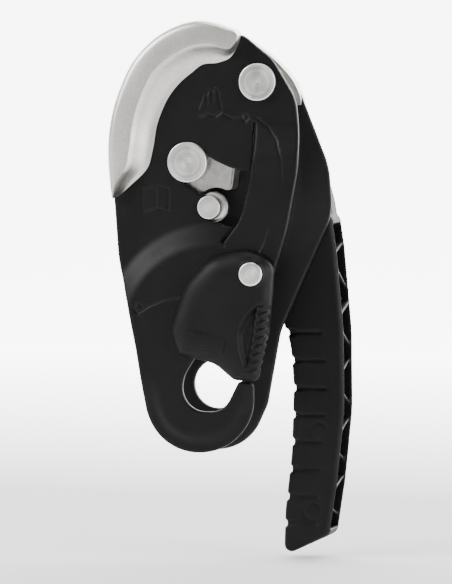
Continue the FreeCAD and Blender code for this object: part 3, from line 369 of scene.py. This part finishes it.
def moving_region(points):
    outline = loop_distance(points, plate_loop)
    window = np.minimum(slot_distance(points, AXLE, AXLE_SLOT_HALF_WIDTH, AXLE_SLOT_SPAN),
                        slot_distance(points, POST, POST_SLOT_HALF_WIDTH, POST_SLOT_SPAN))
    left = np.maximum(outline, -np.minimum(window, loop_distance(points, behind_loop)))
    band = np.maximum(outline, loop_distance(points, band_loop))
    plate = np.minimum(left, band)
    pivot_hole = circle_distance(points, PIVOT, PIVOT_PIN_RADIUS + 0.05)
    gate_hole = circle_distance(points, GATE, GATE_RIVET_RADIUS + 0.02)
    return np.maximum(plate, -np.minimum(pivot_hole, gate_hole))


def moving_level(points):
    """Front depth of the formed plate, before its edges and lines."""
    x = points[:, 0]
    z = points[:, 1]
    from_middle = x - STEP_CENTRE[0]
    above = np.maximum(z - STEP_CENTRE[1], 0)
    step = 1 - smooth(35.5, 48.0, np.hypot(from_middle, above))
    in_band = loop_distance(points, band_loop) < 0.05
    band = in_band * (1 - smooth(92.0, 108.0, z))
    level = LOW + (RAISED - LOW) * np.maximum(step, band)
    from_rim = -loop_distance(points, outer_loop)
    bottom_crease = (1 - smooth(3.5, 7.5, from_rim)) * (1 - smooth(-14.0, 4.0, z))
    return level - 1.6 * bottom_crease


def moving_front(points, inside):
    groove = np.min([line_distance(points, line) for line in ENGRAVED], axis=0)
    pressed = 0.22 * (1 - smooth(0.1, 0.42, groove))
    return moving_level(points) - edge_drop(inside, 0.9) - pressed


def moving_back(points, inside):
    return moving_level(points) - SHEET_THICKNESS + edge_drop(inside, 0.4)


moving_plate = formed(
    "moving_plate_formed", moving_region, (-41, 39, -28, 144), moving_front, moving_back,
    (0.12, 0.35, 0.65, 1.0, 1.6), 1.0,
    along_strokes(ENGRAVED, (0.0, -0.2, 0.2, -0.45, 0.45)))
place(moving_plate, "moving_side", "anodised_plate", "moving_side_plate")

# ---------------------------------------------------------------- fixed plate


def fixed_region(points):
    plate = loop_distance(points, outer_loop)
    holes = [circle_distance(points, (0, 0), CONNECTOR_RADIUS),
             circle_distance(points, PIVOT, PIVOT_PIN_RADIUS),
             circle_distance(points, AXLE, AXLE_OPENING_RADIUS),
             circle_distance(points, POST, POST_FOOT_RADIUS)]
    return np.maximum(plate, -np.min(holes, axis=0))


def fixed_front(points, inside):
    x = points[:, 0]
    z = points[:, 1]
    bend_x = 33.2 - 0.0052 * (z - 94.0) ** 2
    bulge = smooth(-0.8, 1.2, x - bend_x) * smooth(48.0, 62.0, z)
    return FIXED_FRONT - 0.8 * bulge - edge_drop(inside, 0.7)


def fixed_back(points, inside):
    return FIXED_BACK + edge_drop(inside, 0.7)


fixed_plate = formed(
    "fixed_plate_formed", fixed_region, (-41, 49, -28, 144), fixed_front, fixed_back,
    (0.12, 0.35, 0.75, 1.2), 2.0)
place(fixed_plate, "fixed_side", "anodised_plate", "fixed_side_plate")

# ---------------------------------------------------------------- friction lips

# Thickness of a lip's outer wall, as a share of the lip's width.
LIP_WALL = 0.06


def between(stations, count):
    """Stations interpolated smoothly to a given count."""
    table = np.array(stations)
    lengths = np.hypot(*np.diff((table[:, :2] + table[:, 2:4]) / 2, axis=0).T)
    places = np.concatenate([[0], np.cumsum(lengths)])
    slopes = np.gradient(table, places, axis=0)
    result = []
    for at in np.linspace(0, places[-1], count):
        k = min(np.searchsorted(places, at, side="right") - 1, len(places) - 2)
        gap = places[k + 1] - places[k]
        t = (at - places[k]) / gap
        result.append((2 * t ** 3 - 3 * t ** 2 + 1) * table[k]
                      + (t ** 3 - 2 * t ** 2 + t) * gap * slopes[k]
                      + (3 * t ** 2 - 2 * t ** 3) * table[k + 1]
                      + (t ** 3 - t ** 2) * gap * slopes[k + 1])
    return result


def lip_section(crest_at, foot, seat, edge, crest, toe, flange):
    """Section across the lip as (share of its width, depth): the raised outer band, the crest,
    the cove down to its toe on the plate, and the flange that holds the plate's edge."""
    side = 1 if crest > seat else -1
    section = [(0.0, foot), (-0.01, edge - side * 1.0), (0.0, edge)]
    section += [(0.03, edge + (crest - edge) * 0.45), (0.08, edge + (crest - edge) * 0.75)]
    band_steps = 7
    for k in range(band_steps + 1):
        share = k / band_steps
        swell = math.sin(math.pi * share)
        across = 0.14 + (crest_at - 0.17) * share
        section.append((across, crest - side * 0.35 * (1 - share) + side * 0.12 * swell))
    cove_steps = 10
    for k in range(1, cove_steps + 1):
        share = k / cove_steps
        across = crest_at + (0.97 - crest_at) * share
        section.append((across, toe + (crest - toe) * (1 - share) ** 1.7))
    section += [(1.0, toe - side * 0.2), (1.0, seat), (LIP_WALL, seat)]
    if flange:
        section += [(LIP_WALL, FIXED_FRONT), (flange, FIXED_FRONT), (flange, foot)]
    else:
        section += [(LIP_WALL, foot)]
    return section


def lip(name, stations, foot, seat, edge, crest, toe, flange=0.0):
    """A friction lip: its section carried along the stations. The rest are depths, and flange is
    the share of the width that reaches over the plate's other face."""
    rings = []
    for outer_x, outer_z, inner_x, inner_z, crest_at in between(stations, 110):
        section = lip_section(crest_at, foot, seat, edge, crest, toe, flange)
        rings.append([(outer_x + (inner_x - outer_x) * across, -depth,
                       outer_z + (inner_z - outer_z) * across) for across, depth in section])
    size = len(rings[0])
    vertices = [vertex for ring in rings for vertex in ring]
    faces = []
    for r in range(len(rings) - 1):
        for k in range(size):
            following = (k + 1) % size
            faces.append((r * size + k, r * size + following, (r + 1) * size + following,
                          (r + 1) * size + k))
    faces.append(tuple(range(size))[::-1])
    faces.append(tuple((len(rings) - 1) * size + k for k in range(size)))
    piece = add_piece(name, vertices, faces, crease=50)
    round_edges(piece, 0.35)
    return piece


def round_edges(piece, width, segments=3, angle=32):
    """Rounds every edge of a piece that is sharper than an angle."""
    bevel = piece.modifiers.new("rounded_edges", "BEVEL")
    bevel.width = width * MM
    bevel.segments = segments
    bevel.limit_method = "ANGLE"
    bevel.angle_limit = math.radians(angle)
    bevel.use_clamp_overlap = True
    bevel.harden_normals = False


front_lip = lip("front_lip_cast", FRONT_LIP, foot=13.6, seat=15.92, edge=20.4, crest=22.6,
                toe=16.4)
place(front_lip, "moving_side", "lip_steel", "front_friction_lip")
rear_lip = lip("rear_lip_cast", REAR_LIP, foot=2.1, seat=-1.42, edge=-5.2, crest=-7.0,
               toe=-2.0, flange=0.55)
place(rear_lip, "fixed_side", "lip_steel", "rear_friction_lip")

# ---------------------------------------------------------------- gate

gate_loop = rounded(GATE_DOME)
scoop_loop = rounded(THUMB_SCOOP)
RIDGE_PITCH = 3.1
RIDGED_EDGE_Z = (3.0, 18.0, 36.0, 52.0)
RIDGED_EDGE_X = (21.8, 25.3, 27.6, 28.6)
LABEL_MIDDLE = (2.0, 18.7)
LABEL_TILT = math.radians(-12)
LABEL_HALF_LENGTH = 7.4
LABEL_HALF_HEIGHT = 3.0


def on_label(along, across):
    """The plan place of a point given along and across the gate's blank label."""
    return (LABEL_MIDDLE[0] + along * math.cos(LABEL_TILT) - across * math.sin(LABEL_TILT),
            LABEL_MIDDLE[1] + along * math.sin(LABEL_TILT) + across * math.cos(LABEL_TILT))


LABEL_EDGE = [on_label(along * LABEL_HALF_LENGTH, across * LABEL_HALF_HEIGHT)
              for along, across in ((-1, -1), (1, -1), (1, 1), (-1, 1), (-1, -1))]
label_loop = rounded([(x, z, 1.6) for x, z in LABEL_EDGE[:-1]])


def serrated(points):
    """Where the ridges of the gate's right edge are, from 0 to 1."""
    edge_x = np.interp(points[:, 1], RIDGED_EDGE_Z, RIDGED_EDGE_X)
    near = smooth(-5.6, -3.4, points[:, 0] - edge_x)
    return near * smooth(6.0, 8.0, points[:, 1]) * (1 - smooth(33.0, 35.0, points[:, 1]))


def ridge_wave(points):
    """Ridges across the thumb edge, rising towards the outside."""
    along = points[:, 1] - 0.4 * (points[:, 0] - 24.0)
    return 0.5 + 0.5 * np.cos(2 * math.pi * along / RIDGE_PITCH)


def gate_region(points):
    notch = 0.55 * serrated(points) * ridge_wave(points)
    rivet_hole = circle_distance(points, GATE, GATE_RIVET_RADIUS + 0.02)
    return np.maximum(loop_distance(points, gate_loop) + notch, -rivet_hole)


def gate_front(points, inside):
    rim = np.maximum(-loop_distance(points, gate_loop), 0)
    rise = (1 - (1 - np.clip(rim / 10.0, 0, 1)) ** 2.4) ** 0.5
    dome = GATE_BACK + 1.2 + (GATE_HEIGHT - 1.2) * rise
    scoop = 2.3 * smooth(0.0, 2.4, -loop_distance(points, scoop_loop))
    ridges = 1.1 * serrated(points) * ridge_wave(points)
    label = smooth(-0.15, 0.15, -loop_distance(points, label_loop))
    seat = 1 - smooth(5.0, 5.8, circle_distance(points, GATE, 0.0))
    face = np.minimum(dome - scoop - ridges + 0.45 * label, GATE_BACK + GATE_HEIGHT + 0.45)
    flat_seat = GATE_BACK + GATE_HEIGHT - 0.05
    face = np.maximum(face, GATE_BACK + 0.9)
    return face * (1 - seat) + flat_seat * seat - edge_drop(inside, 0.5)


def gate_back(points, inside):
    return np.full(len(points), GATE_BACK)


gate_piece = formed(
    "gate_moulded", gate_region, (-16, 30, 2, 57), gate_front, gate_back,
    (0.1, 0.3, 0.6, 1.0, 1.7), 0.5,
    along_strokes([[tuple(p) for p in np.vstack([label_loop, label_loop[:1]])]],
                  (-0.25, -0.1, 0.1, 0.25)))
place(gate_piece, "gate", "black_nylon", "gate_shell")

# ---------------------------------------------------------------- handle

fan_loop = rounded(HANDLE_FAN)
arm_loop = rounded(HANDLE_ARM)
HANDLE_FRONT = -2.0
HANDLE_BACK = -19.6
HANDLE_FAN_FRONT = -8.0
BOSS_RADIUS = 22.6
MOULD_CIRCLE_RADIUS = 3.6
MOULD_CIRCLES = [(41.6, -19.0), (39.0, -52.0)]
FINGER_EDGE = [(27.4, -60.0), (27.6, -52.0), (30.1, -28.0), (30.9, 0.0), (29.6, 16.0), (28.0, 26.0)]


def handle_region(points):
    boss = circle_distance(points, AXLE, BOSS_RADIUS)
    return np.min([loop_distance(points, fan_loop), loop_distance(points, arm_loop), boss], axis=0)


def finger_edge_x(points):
    """Where the finger edge of the grip is, at the height of each point."""
    return np.interp(points[:, 1], [p[1] for p in FINGER_EDGE], [p[0] for p in FINGER_EDGE])


def grip_cut(points):
    """The grip's grooves: a notch at the finger edge that narrows to a slit across the front."""
    from_edge = points[:, 0] - finger_edge_x(points)
    cut = np.zeros(len(points))
    for height in GRIP_GROOVES:
        half = 0.5 + 1.0 * (1 - smooth(0.0, 5.0, from_edge))
        here = 1 - smooth(half - 0.25, half + 0.25, np.abs(points[:, 1] - height))
        cut = np.maximum(cut, here * (1 - smooth(13.0, 14.5, from_edge)))
    return cut


def finger_notch(points):
    """How far each groove cuts into the finger edge of the grip."""
    nearest = np.min([np.abs(points[:, 1] - height) for height in GRIP_GROOVES], axis=0)
    near_edge = points[:, 0] - finger_edge_x(points) < 3.0
    return 0.9 * (1 - smooth(1.1, 1.6, nearest)) * near_edge


def moulding_circles(points):
    """Faint circles that the mould leaves in the grip's front face."""
    from_ring = np.min([np.abs(circle_distance(points, centre, MOULD_CIRCLE_RADIUS))
                        for centre in MOULD_CIRCLES], axis=0)
    return 0.3 * (1 - smooth(0.25, 0.6, from_ring))


def inward(points, region, reach=0.05):
    """Unit steps in the plan that lead away from a region's outline, to its inside."""
    x_step = np.array([reach, 0.0])
    z_step = np.array([0.0, reach])
    slope = np.stack([region(points - x_step) - region(points + x_step),
                      region(points - z_step) - region(points + z_step)], axis=1)
    return slope / np.maximum(np.linalg.norm(slope, axis=1, keepdims=True), 1e-9)


def press_fillet(plan, depths, inside, steps_in, face, radius, side):
    """Moves points beyond a rounded edge onto its arc. side is 1 for the front, -1 for the back."""
    over = side * (depths - face) + radius
    out = radius - inside
    length = np.hypot(np.maximum(out, 0), np.maximum(over, 0))
    corner = (out > 0) & (over > 0) & (length > radius)
    scale = np.where(corner, radius / np.maximum(length, 1e-9), 1.0)
    plan += steps_in * (np.where(corner, out, 0) * (1 - scale))[:, None]
    depths -= side * np.where(corner, over, 0) * (1 - scale)


def skinned(mesh, voxel, softening):
    """A new mesh wrapped round another in small even faces, then softened."""
    shape = bpy.data.objects.new("skinned", mesh)
    bpy.context.scene.collection.objects.link(shape)
    skin = shape.modifiers.new("skin", "REMESH")
    skin.mode = "VOXEL"
    skin.voxel_size = voxel * MM
    if softening:
        soften = shape.modifiers.new("soften", "SMOOTH")
        soften.factor = 0.5
        soften.iterations = softening
    bpy.context.view_layer.update()
    evaluated = shape.evaluated_get(bpy.context.evaluated_depsgraph_get())
    result = bpy.data.meshes.new_from_object(evaluated)
    bpy.data.objects.remove(shape)
    return result


def handle_shape():
    """The CAD handle, pressed back to the rounded and grooved faces of the moulding."""
    mesh = skinned(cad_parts["handle_arm"].data.copy(), 0.4, 0)
    places = np.empty(len(mesh.vertices) * 3)
    mesh.vertices.foreach_get("co", places)
    places = places.reshape(-1, 3) / MM
    plan = places[:, [0, 2]]
    depths = -places[:, 1]
    inside = -handle_region(plan)
    steps_in = inward(plan, handle_region)
    arm = loop_distance(plan, arm_loop) < 0.6
    fillet = 1.2 + 1.6 * smooth(4.0, 14.0, plan[:, 0] - finger_edge_x(plan))
    behind_boss = circle_distance(plan, AXLE, BOSS_RADIUS + 0.4) < 0
    front = HANDLE_FRONT - np.maximum(0.75 * grip_cut(plan), moulding_circles(plan))
    depths = np.where(arm & ~behind_boss, np.minimum(depths, front), depths)
    press_fillet(plan, depths, inside, steps_in, np.where(arm, front, HANDLE_FAN_FRONT),
                 np.where(behind_boss, 0.01, fillet), 1)
    press_fillet(plan, depths, inside, steps_in, HANDLE_BACK, 2.0, -1)
    plan += steps_in * np.maximum(finger_notch(plan) - np.maximum(inside, 0), 0)[:, None]
    places[:, [0, 2]] = plan
    places[:, 1] = -depths
    mesh.vertices.foreach_set("co", (places * MM).ravel())
    mesh.update()
    mesh = skinned(mesh, 0.36, 6)
    mesh.shade_smooth()
    piece = bpy.data.objects.new("handle_moulded", mesh)
    bpy.context.scene.collection.objects.link(piece)
    return piece


handle = handle_shape()
place(handle, "handle", "black_nylon", "handle_arm")

# ---------------------------------------------------------------- turned pieces


def faced(face_radius, depth, ring_pitch=0.85, ring_depth=0.05):
    """Profile points of a turned face: the shallow rings that the tool leaves in it."""
    count = int(face_radius / ring_pitch) * 2
    return [(face_radius * k / count, depth - ring_depth * (k % 2)) for k in range(count + 1)]


def rounded_rim(radius, depth, corner, steps=5):
    """Profile points of a rounded edge between a face and the side of a head."""
    turns = [math.pi / 2 * k / steps for k in range(steps + 1)]
    return [(radius - corner + corner * math.sin(t), depth - corner + corner * math.cos(t))
            for t in turns]


def lathe(name, centre, profile, segments=96):
    """A solid of revolution from (radius, depth) points that start and end on its axis."""
    vertices = []
    for radius, depth in profile:
        for k in range(segments if radius > 0 else 1):
            turn = 2 * math.pi * k / segments
            vertices.append((centre[0] + radius * math.cos(turn), -depth,
                             centre[1] + radius * math.sin(turn)))
    starts = np.cumsum([0] + [segments if radius > 0 else 1 for radius, _ in profile])
    faces = []
    for i in range(len(profile) - 1):
        near, far = int(starts[i]), int(starts[i + 1])
        for k in range(segments):
            after = (k + 1) % segments
            first = [near + k, near + after] if profile[i][0] > 0 else [near]
            second = [far + after, far + k] if profile[i + 1][0] > 0 else [far]
            faces.append(tuple(first + second))
    return add_piece(name, vertices, faces, crease=50)


def head(radius, front, corner):
    return faced(radius - corner, front) + rounded_rim(radius, front, corner)[1:]


axle_pin = lathe("cam_axle_turned", AXLE, head(8.2, 17.5, 0.55) + [
    (8.2, 15.97), (6.95, 15.97), (6.95, 12.8), (6.0, 12.8), (6.0, -16.1), (5.0, -16.1),
    (5.0, -19.3), (0, -19.3)])
place(axle_pin, "fixed_side", "turned_steel", "cam_axle")
pivot_pin = lathe("plate_pivot_pin_turned", PIVOT, head(7.6, 18.4, 0.55) + [
    (7.6, 16.0), (5.0, 16.0), (5.0, -1.38), (0, -1.38)])
place(pivot_pin, "fixed_side", "turned_steel", "plate_pivot_pin")
post = lathe("stop_post_turned", POST, head(4.75, 17.5, 0.45) + [
    (4.75, 10.5), (5.9, 10.5), (6.3, 10.1), (6.3, 8.5), (4.4, 8.5), (4.4, 1.42), (3.5, 1.42),
    (3.5, -1.38), (0, -1.38)])
place(post, "fixed_side", "turned_steel", "stop_post")
gate_rivet = lathe("gate_pivot_rivet_turned", GATE, faced(4.2, 28.2, 0.9, 0.008) + [
    (4.5, 28.12), (4.72, 27.95), (4.8, 27.7), (4.8, 27.04), (3.0, 27.04), (3.0, 17.78),
    (4.8, 17.78), (4.8, 16.7), (0, 16.7)])
place(gate_rivet, "moving_side", "turned_steel", "gate_pivot_rivet")

# ---------------------------------------------------------------- materials


class Nodes:
    """A material's node tree, with short ways to add and join nodes."""

    def __init__(self, name):
        self.material = bpy.data.materials.new(name)
        self.material.use_nodes = True
        self.tree = self.material.node_tree
        self.shader = self.tree.nodes["Principled BSDF"]
        self.place = self.tree.nodes.new("ShaderNodeTexCoord").outputs["Object"]

    def add(self, kind, inputs=(), **settings):
        node = self.tree.nodes.new("ShaderNode" + kind)
        for key, value in settings.items():
            setattr(node, key, value)
        for key, value in dict(inputs).items():
            if isinstance(value, bpy.types.NodeSocket):
                self.tree.links.new(value, node.inputs[key])
            else:
                node.inputs[key].default_value = value
        return node

    def join(self, output, name):
        self.tree.links.new(output, self.shader.inputs[name])

    def noise(self, scale, detail=3.0, rough=0.55, stretch=(1, 1, 1), vector=None):
        """Noise whose scale is in bumps per millimetre."""
        moved = self.add("Mapping", {"Vector": vector or self.place, "Scale": stretch})
        texture = self.add("TexNoise", {"Vector": moved.outputs[0], "Scale": scale / MM,
                                        "Detail": detail, "Roughness": rough})
        return texture.outputs["Fac"]

    def between(self, fac, low, high, start=0.3, end=0.7):
        span = self.add("MapRange", {"Value": fac, "From Min": start, "From Max": end,
                                     "To Min": low, "To Max": high})
        return span.outputs["Result"]

    def tint(self, fac, dark, light):
        mix = self.add("Mix", {0: fac}, data_type="RGBA")
        mix.inputs[6].default_value = (*dark, 1)
        mix.inputs[7].default_value = (*light, 1)
        return mix.outputs[2]

    def bump(self, height, strength, distance, under=None):
        inputs = {"Height": height, "Strength": strength, "Distance": distance * MM}
        if under is not None:
            inputs["Normal"] = under
        return self.add("Bump", inputs).outputs["Normal"]


def anodised(name, dark, light):
    """Satin black anodising over a fine bead-blasted skin, with faint handling marks."""
    n = Nodes("satin_anodised_" + name)
    grain = n.noise(6.0, 2)
    cloud = n.noise(0.035, 4)
    rub = n.noise(0.5, 6, 0.7, (1, 1, 6))
    n.join(n.tint(n.between(cloud, 0, 1), dark, light), "Base Color")
    even = n.between(cloud, 0.40, 0.50)
    marked = n.add("Math", {0: even, 1: n.between(rub, -0.05, 0.05)}, operation="ADD")
    n.join(marked.outputs[0], "Roughness")
    n.shader.inputs["Metallic"].default_value = 0.0
    n.shader.inputs["Specular IOR Level"].default_value = 0.18
    n.join(n.bump(grain, 0.35, 0.012), "Normal")
    return n.material


def nylon():
    """Black glass-filled moulding: a fine spark-eroded grain and slow changes of gloss."""
    n = Nodes("moulded_black_nylon")
    grain = n.noise(4.0, 3)
    pores = n.noise(11.0, 2)
    cloud = n.noise(0.05, 3)
    n.join(n.tint(n.between(cloud, 0, 1), (0.0018, 0.0018, 0.0019), (0.0034, 0.0034, 0.0036)),
           "Base Color")
    n.join(n.between(cloud, 0.46, 0.56), "Roughness")
    n.shader.inputs["Specular IOR Level"].default_value = 0.18
    n.join(n.bump(pores, 0.3, 0.012, n.bump(grain, 0.4, 0.03)), "Normal")
    return n.material


def blasted():
    """Pale bead-blasted stainless steel, finely brushed where the rope polishes it."""
    n = Nodes("blasted_stainless")
    grain = n.noise(1.7, 4, 0.65)
    brushed = n.noise(2.2, 3, 0.6, (1, 1, 0.06))
    cloud = n.noise(0.06, 4)
    n.join(n.tint(n.between(grain, 0, 1, 0.2, 0.8), (0.46, 0.45, 0.42), (0.78, 0.77, 0.73)),
           "Base Color")
    n.join(n.between(cloud, 0.33, 0.42), "Roughness")
    n.shader.inputs["Metallic"].default_value = 1.0
    n.join(n.bump(brushed, 0.12, 0.02, n.bump(grain, 0.9, 0.10)), "Normal")
    return n.material


def turned(name, centre, marks=1.0):
    """Stainless steel turned on a lathe: rings about the part's own axis."""
    n = Nodes("turned_stainless_" + name)
    shifted = n.add("VectorMath", {0: n.place, 1: (-centre[0] * MM, 0, -centre[1] * MM)},
                    operation="ADD")
    flat = n.add("VectorMath", {0: shifted.outputs[0], 1: (1, 0, 1)}, operation="MULTIPLY")
    radius = n.add("VectorMath", {0: flat.outputs[0]}, operation="LENGTH").outputs["Value"]
    rings = n.add("TexNoise", {"W": radius, "Scale": 0.95 / MM, "Detail": 2.0, "Roughness": 0.5},
                  noise_dimensions="1D").outputs["Fac"]
    cloud = n.noise(0.35, 3)
    n.join(n.tint(n.between(rings, 0, 1), (0.60, 0.59, 0.57), (0.96, 0.95, 0.93)), "Base Color")
    n.join(n.between(cloud, 0.28, 0.38), "Roughness")
    n.shader.inputs["Metallic"].default_value = 1.0
    n.shader.inputs["Anisotropic"].default_value = 0.5
    n.join(n.add("Tangent", direction_type="RADIAL", axis="Y").outputs[0], "Tangent")
    n.join(n.bump(rings, 0.25 * marks, 0.03), "Normal")
    return n.material


def cast():
    """Cast and tumbled stainless steel: slight waviness and small pits."""
    n = Nodes("cast_stainless")
    wave = n.noise(0.4, 3)
    pits = n.noise(3.0, 4)
    n.join(n.tint(n.between(wave, 0, 1), (0.42, 0.41, 0.39), (0.56, 0.55, 0.53)), "Base Color")
    n.join(n.between(wave, 0.30, 0.42), "Roughness")
    n.shader.inputs["Metallic"].default_value = 1.0
    n.join(n.bump(pits, 0.3, 0.03, n.bump(wave, 0.2, 0.2)), "Normal")
    return n.material


def plain_metal(name, dark, light):
    """Drawn wire or a bronze bush: lengthwise marks and a mottled tint."""
    n = Nodes(name)
    marks = n.noise(2.5, 3, 0.6, (1, 0.2, 1))
    cloud = n.noise(0.5, 3)
    n.join(n.tint(n.between(cloud, 0, 1), dark, light), "Base Color")
    n.join(n.between(marks, 0.28, 0.40), "Roughness")
    n.shader.inputs["Metallic"].default_value = 1.0
    n.join(n.bump(marks, 0.25, 0.02), "Normal")
    return n.material


def paint(piece, material):
    piece.data.materials.clear()
    piece.data.materials.append(material)


moving_black = anodised("black", (0.0018, 0.0018, 0.0020), (0.0034, 0.0034, 0.0037))
# Painted light: the fixed plate gets a lighter copy of the plate black, standing in for the light
# from the right that brightens it.
fixed_painted_lit_black = anodised("painted_lit_black", (0.0085, 0.0085, 0.0090), (0.0120, 0.0120, 0.0126))
moulded_black = nylon()
blasted_steel = blasted()
cast_steel = cast()
spring_steel = plain_metal("drawn_spring_steel", (0.34, 0.34, 0.35), (0.50, 0.50, 0.51))
bronze = plain_metal("sintered_bronze", (0.36, 0.24, 0.12), (0.52, 0.37, 0.19))

paint(moving_plate, moving_black)
# The fixed plate's lighter black is painted light from the right.
paint(fixed_plate, fixed_painted_lit_black)
paint(front_lip, blasted_steel)
paint(rear_lip, blasted_steel)
paint(gate_piece, moulded_black)
paint(handle, moulded_black)

paint(axle_pin, turned("axle", AXLE))
paint(pivot_pin, turned("plate_pivot", PIVOT))
paint(post, turned("post", POST))
paint(gate_rivet, turned("gate", GATE, 0.3))

NODE_MATERIALS = {
    "axle_rear_washer": turned("axle_washer", AXLE, 0.7),
    "axle_rear_cap": turned("axle_cap", AXLE),
    "friction_block_rivet": turned("block_rivet", (29.0, 117.6)),
    "front_lip_rivets": turned("front_lip_rivets", (-2.0, 137.6)),
    "rear_lip_rivets": turned("rear_lip_rivets", (-3.0, 138.0)),
    "hub_cover_screws": turned("screws", AXLE, 0.5),
    "pivot_thrust_washer": bronze, "cam_bush": bronze, "handle_bush": bronze,
    "friction_block": blasted_steel, "cam_body": cast_steel, "cam_cheek_plate": cast_steel,
    "gate_tongue": cast_steel, "handle_drive_plate": cast_steel,
    "gate_spring": spring_steel, "cam_return_spring": spring_steel,
    "handle_return_spring": spring_steel, "hub_cover": moulded_black,
}
for node_name, node_material in NODE_MATERIALS.items():
    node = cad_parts[node_name]
    node.data.materials.clear()
    node.data.materials.append(node_material)

# ---------------------------------------------------------------- stage, light and camera

FLOOR_Z = -71.5
SIGHT_AZIMUTH = 14
SIGHT_ELEVATION = 3
SIGHT_DISTANCE = 1.8
PICTURE_HEIGHT = 0.2394


def backdrop():
    """A pale floor that curves up into a wall behind the object, glowing more strongly further
    back.
    """
    profile = [(-4.0, 0.0), (1.2, 0.0)]
    bend = 0.6
    steps = 16
    for k in range(1, steps + 1):
        turn = math.pi / 2 * k / steps
        profile.append((1.2 + bend * math.sin(turn), bend * (1 - math.cos(turn))))
    profile.append((1.8, 4.0))
    half = 4.0
    vertices = []
    for y, z in profile:
        vertices += [(-half / MM, y / MM, z / MM + FLOOR_Z), (half / MM, y / MM, z / MM + FLOOR_Z)]
    faces = [(2 * k, 2 * k + 1, 2 * k + 3, 2 * k + 2) for k in range(len(profile) - 1)]
    piece = add_piece("pale_backdrop", vertices, faces)
    n = Nodes("glowing_pale_paper")
    tone = n.noise(0.002, 2)
    n.join(n.tint(tone, (0.70, 0.70, 0.70), (0.74, 0.74, 0.74)), "Base Color")
    n.shader.inputs["Roughness"].default_value = 0.9
    # Painted glow: the paper emits white light, none near the object and strong on the far floor
    # and the wall.
    n.shader.inputs["Emission Color"].default_value = (1, 1, 1, 1)
    depth = n.add("SeparateXYZ", {0: n.place}).outputs["Y"]
    n.join(n.between(depth, 0.0, 6.0, 0.25, 1.2), "Emission Strength")
    paint(piece, n.material)


# The object's middle in metres, at which the lamps point.
MIDDLE = (0, 0, 0.035)


def soft_light(name, place_m, target_m, size_m, watts):
    """A square lamp aimed at a point."""
    lamp = bpy.data.lights.new(name, "AREA")
    lamp.shape = "SQUARE"
    lamp.size = size_m
    lamp.energy = watts
    holder = bpy.data.objects.new(name, lamp)
    holder.location = place_m
    holder.rotation_euler = (Vector(target_m) - Vector(place_m)).to_track_quat(
        "-Z", "Y").to_euler()
    bpy.context.scene.collection.objects.link(holder)


def sight():
    """The camera: a little to the right of the front and a little above it."""
    azimuth = math.radians(SIGHT_AZIMUTH)
    elevation = math.radians(SIGHT_ELEVATION)
    towards = Vector((math.sin(azimuth) * math.cos(elevation),
                      -math.cos(azimuth) * math.cos(elevation), math.sin(elevation)))
    right = Vector((math.cos(azimuth), math.sin(azimuth), 0))
    up = towards.cross(right)
    target = right * 0.0030 + up * 0.0375
    camera = bpy.data.cameras.new("sight")
    camera.sensor_fit = "VERTICAL"
    camera.angle = 2 * math.atan(PICTURE_HEIGHT / 2 / SIGHT_DISTANCE)
    camera.clip_start = 0.05
    holder = bpy.data.objects.new("sight", camera)
    holder.location = target + towards * SIGHT_DISTANCE
    holder.rotation_euler = (-towards).to_track_quat("-Z", "Y").to_euler()
    bpy.context.scene.collection.objects.link(holder)
    bpy.context.scene.camera = holder


backdrop()

# Place and target in metres, size in metres, power in watts.
soft_light("right_box", (1.35, -0.55, 0.35), MIDDLE, 0.6, 17)
soft_light("left_box", (-1.15, -0.9, 0.85), MIDDLE, 0.6, 27)
soft_light("top_box", (0.1, -0.2, 1.5), MIDDLE, 0.6, 8)

# The fill light is stronger from above than from below.
world = bpy.data.worlds.new("studio")
world.use_nodes = True
world_nodes = world.node_tree.nodes
direction = world_nodes.new("ShaderNodeTexCoord")
height = world_nodes.new("ShaderNodeSeparateXYZ")
fill = world_nodes.new("ShaderNodeMapRange")
fill.inputs["From Min"].default_value = -0.3
fill.inputs["From Max"].default_value = 0.7
fill.inputs["To Min"].default_value = 0.02
fill.inputs["To Max"].default_value = 0.44
world.node_tree.links.new(direction.outputs["Generated"], height.inputs[0])
world.node_tree.links.new(height.outputs["Z"], fill.inputs["Value"])
world.node_tree.links.new(fill.outputs["Result"], world_nodes["Background"].inputs["Strength"])
world_nodes["Background"].inputs["Color"].default_value = (1, 1, 1, 1)
bpy.context.scene.world = world
sight()
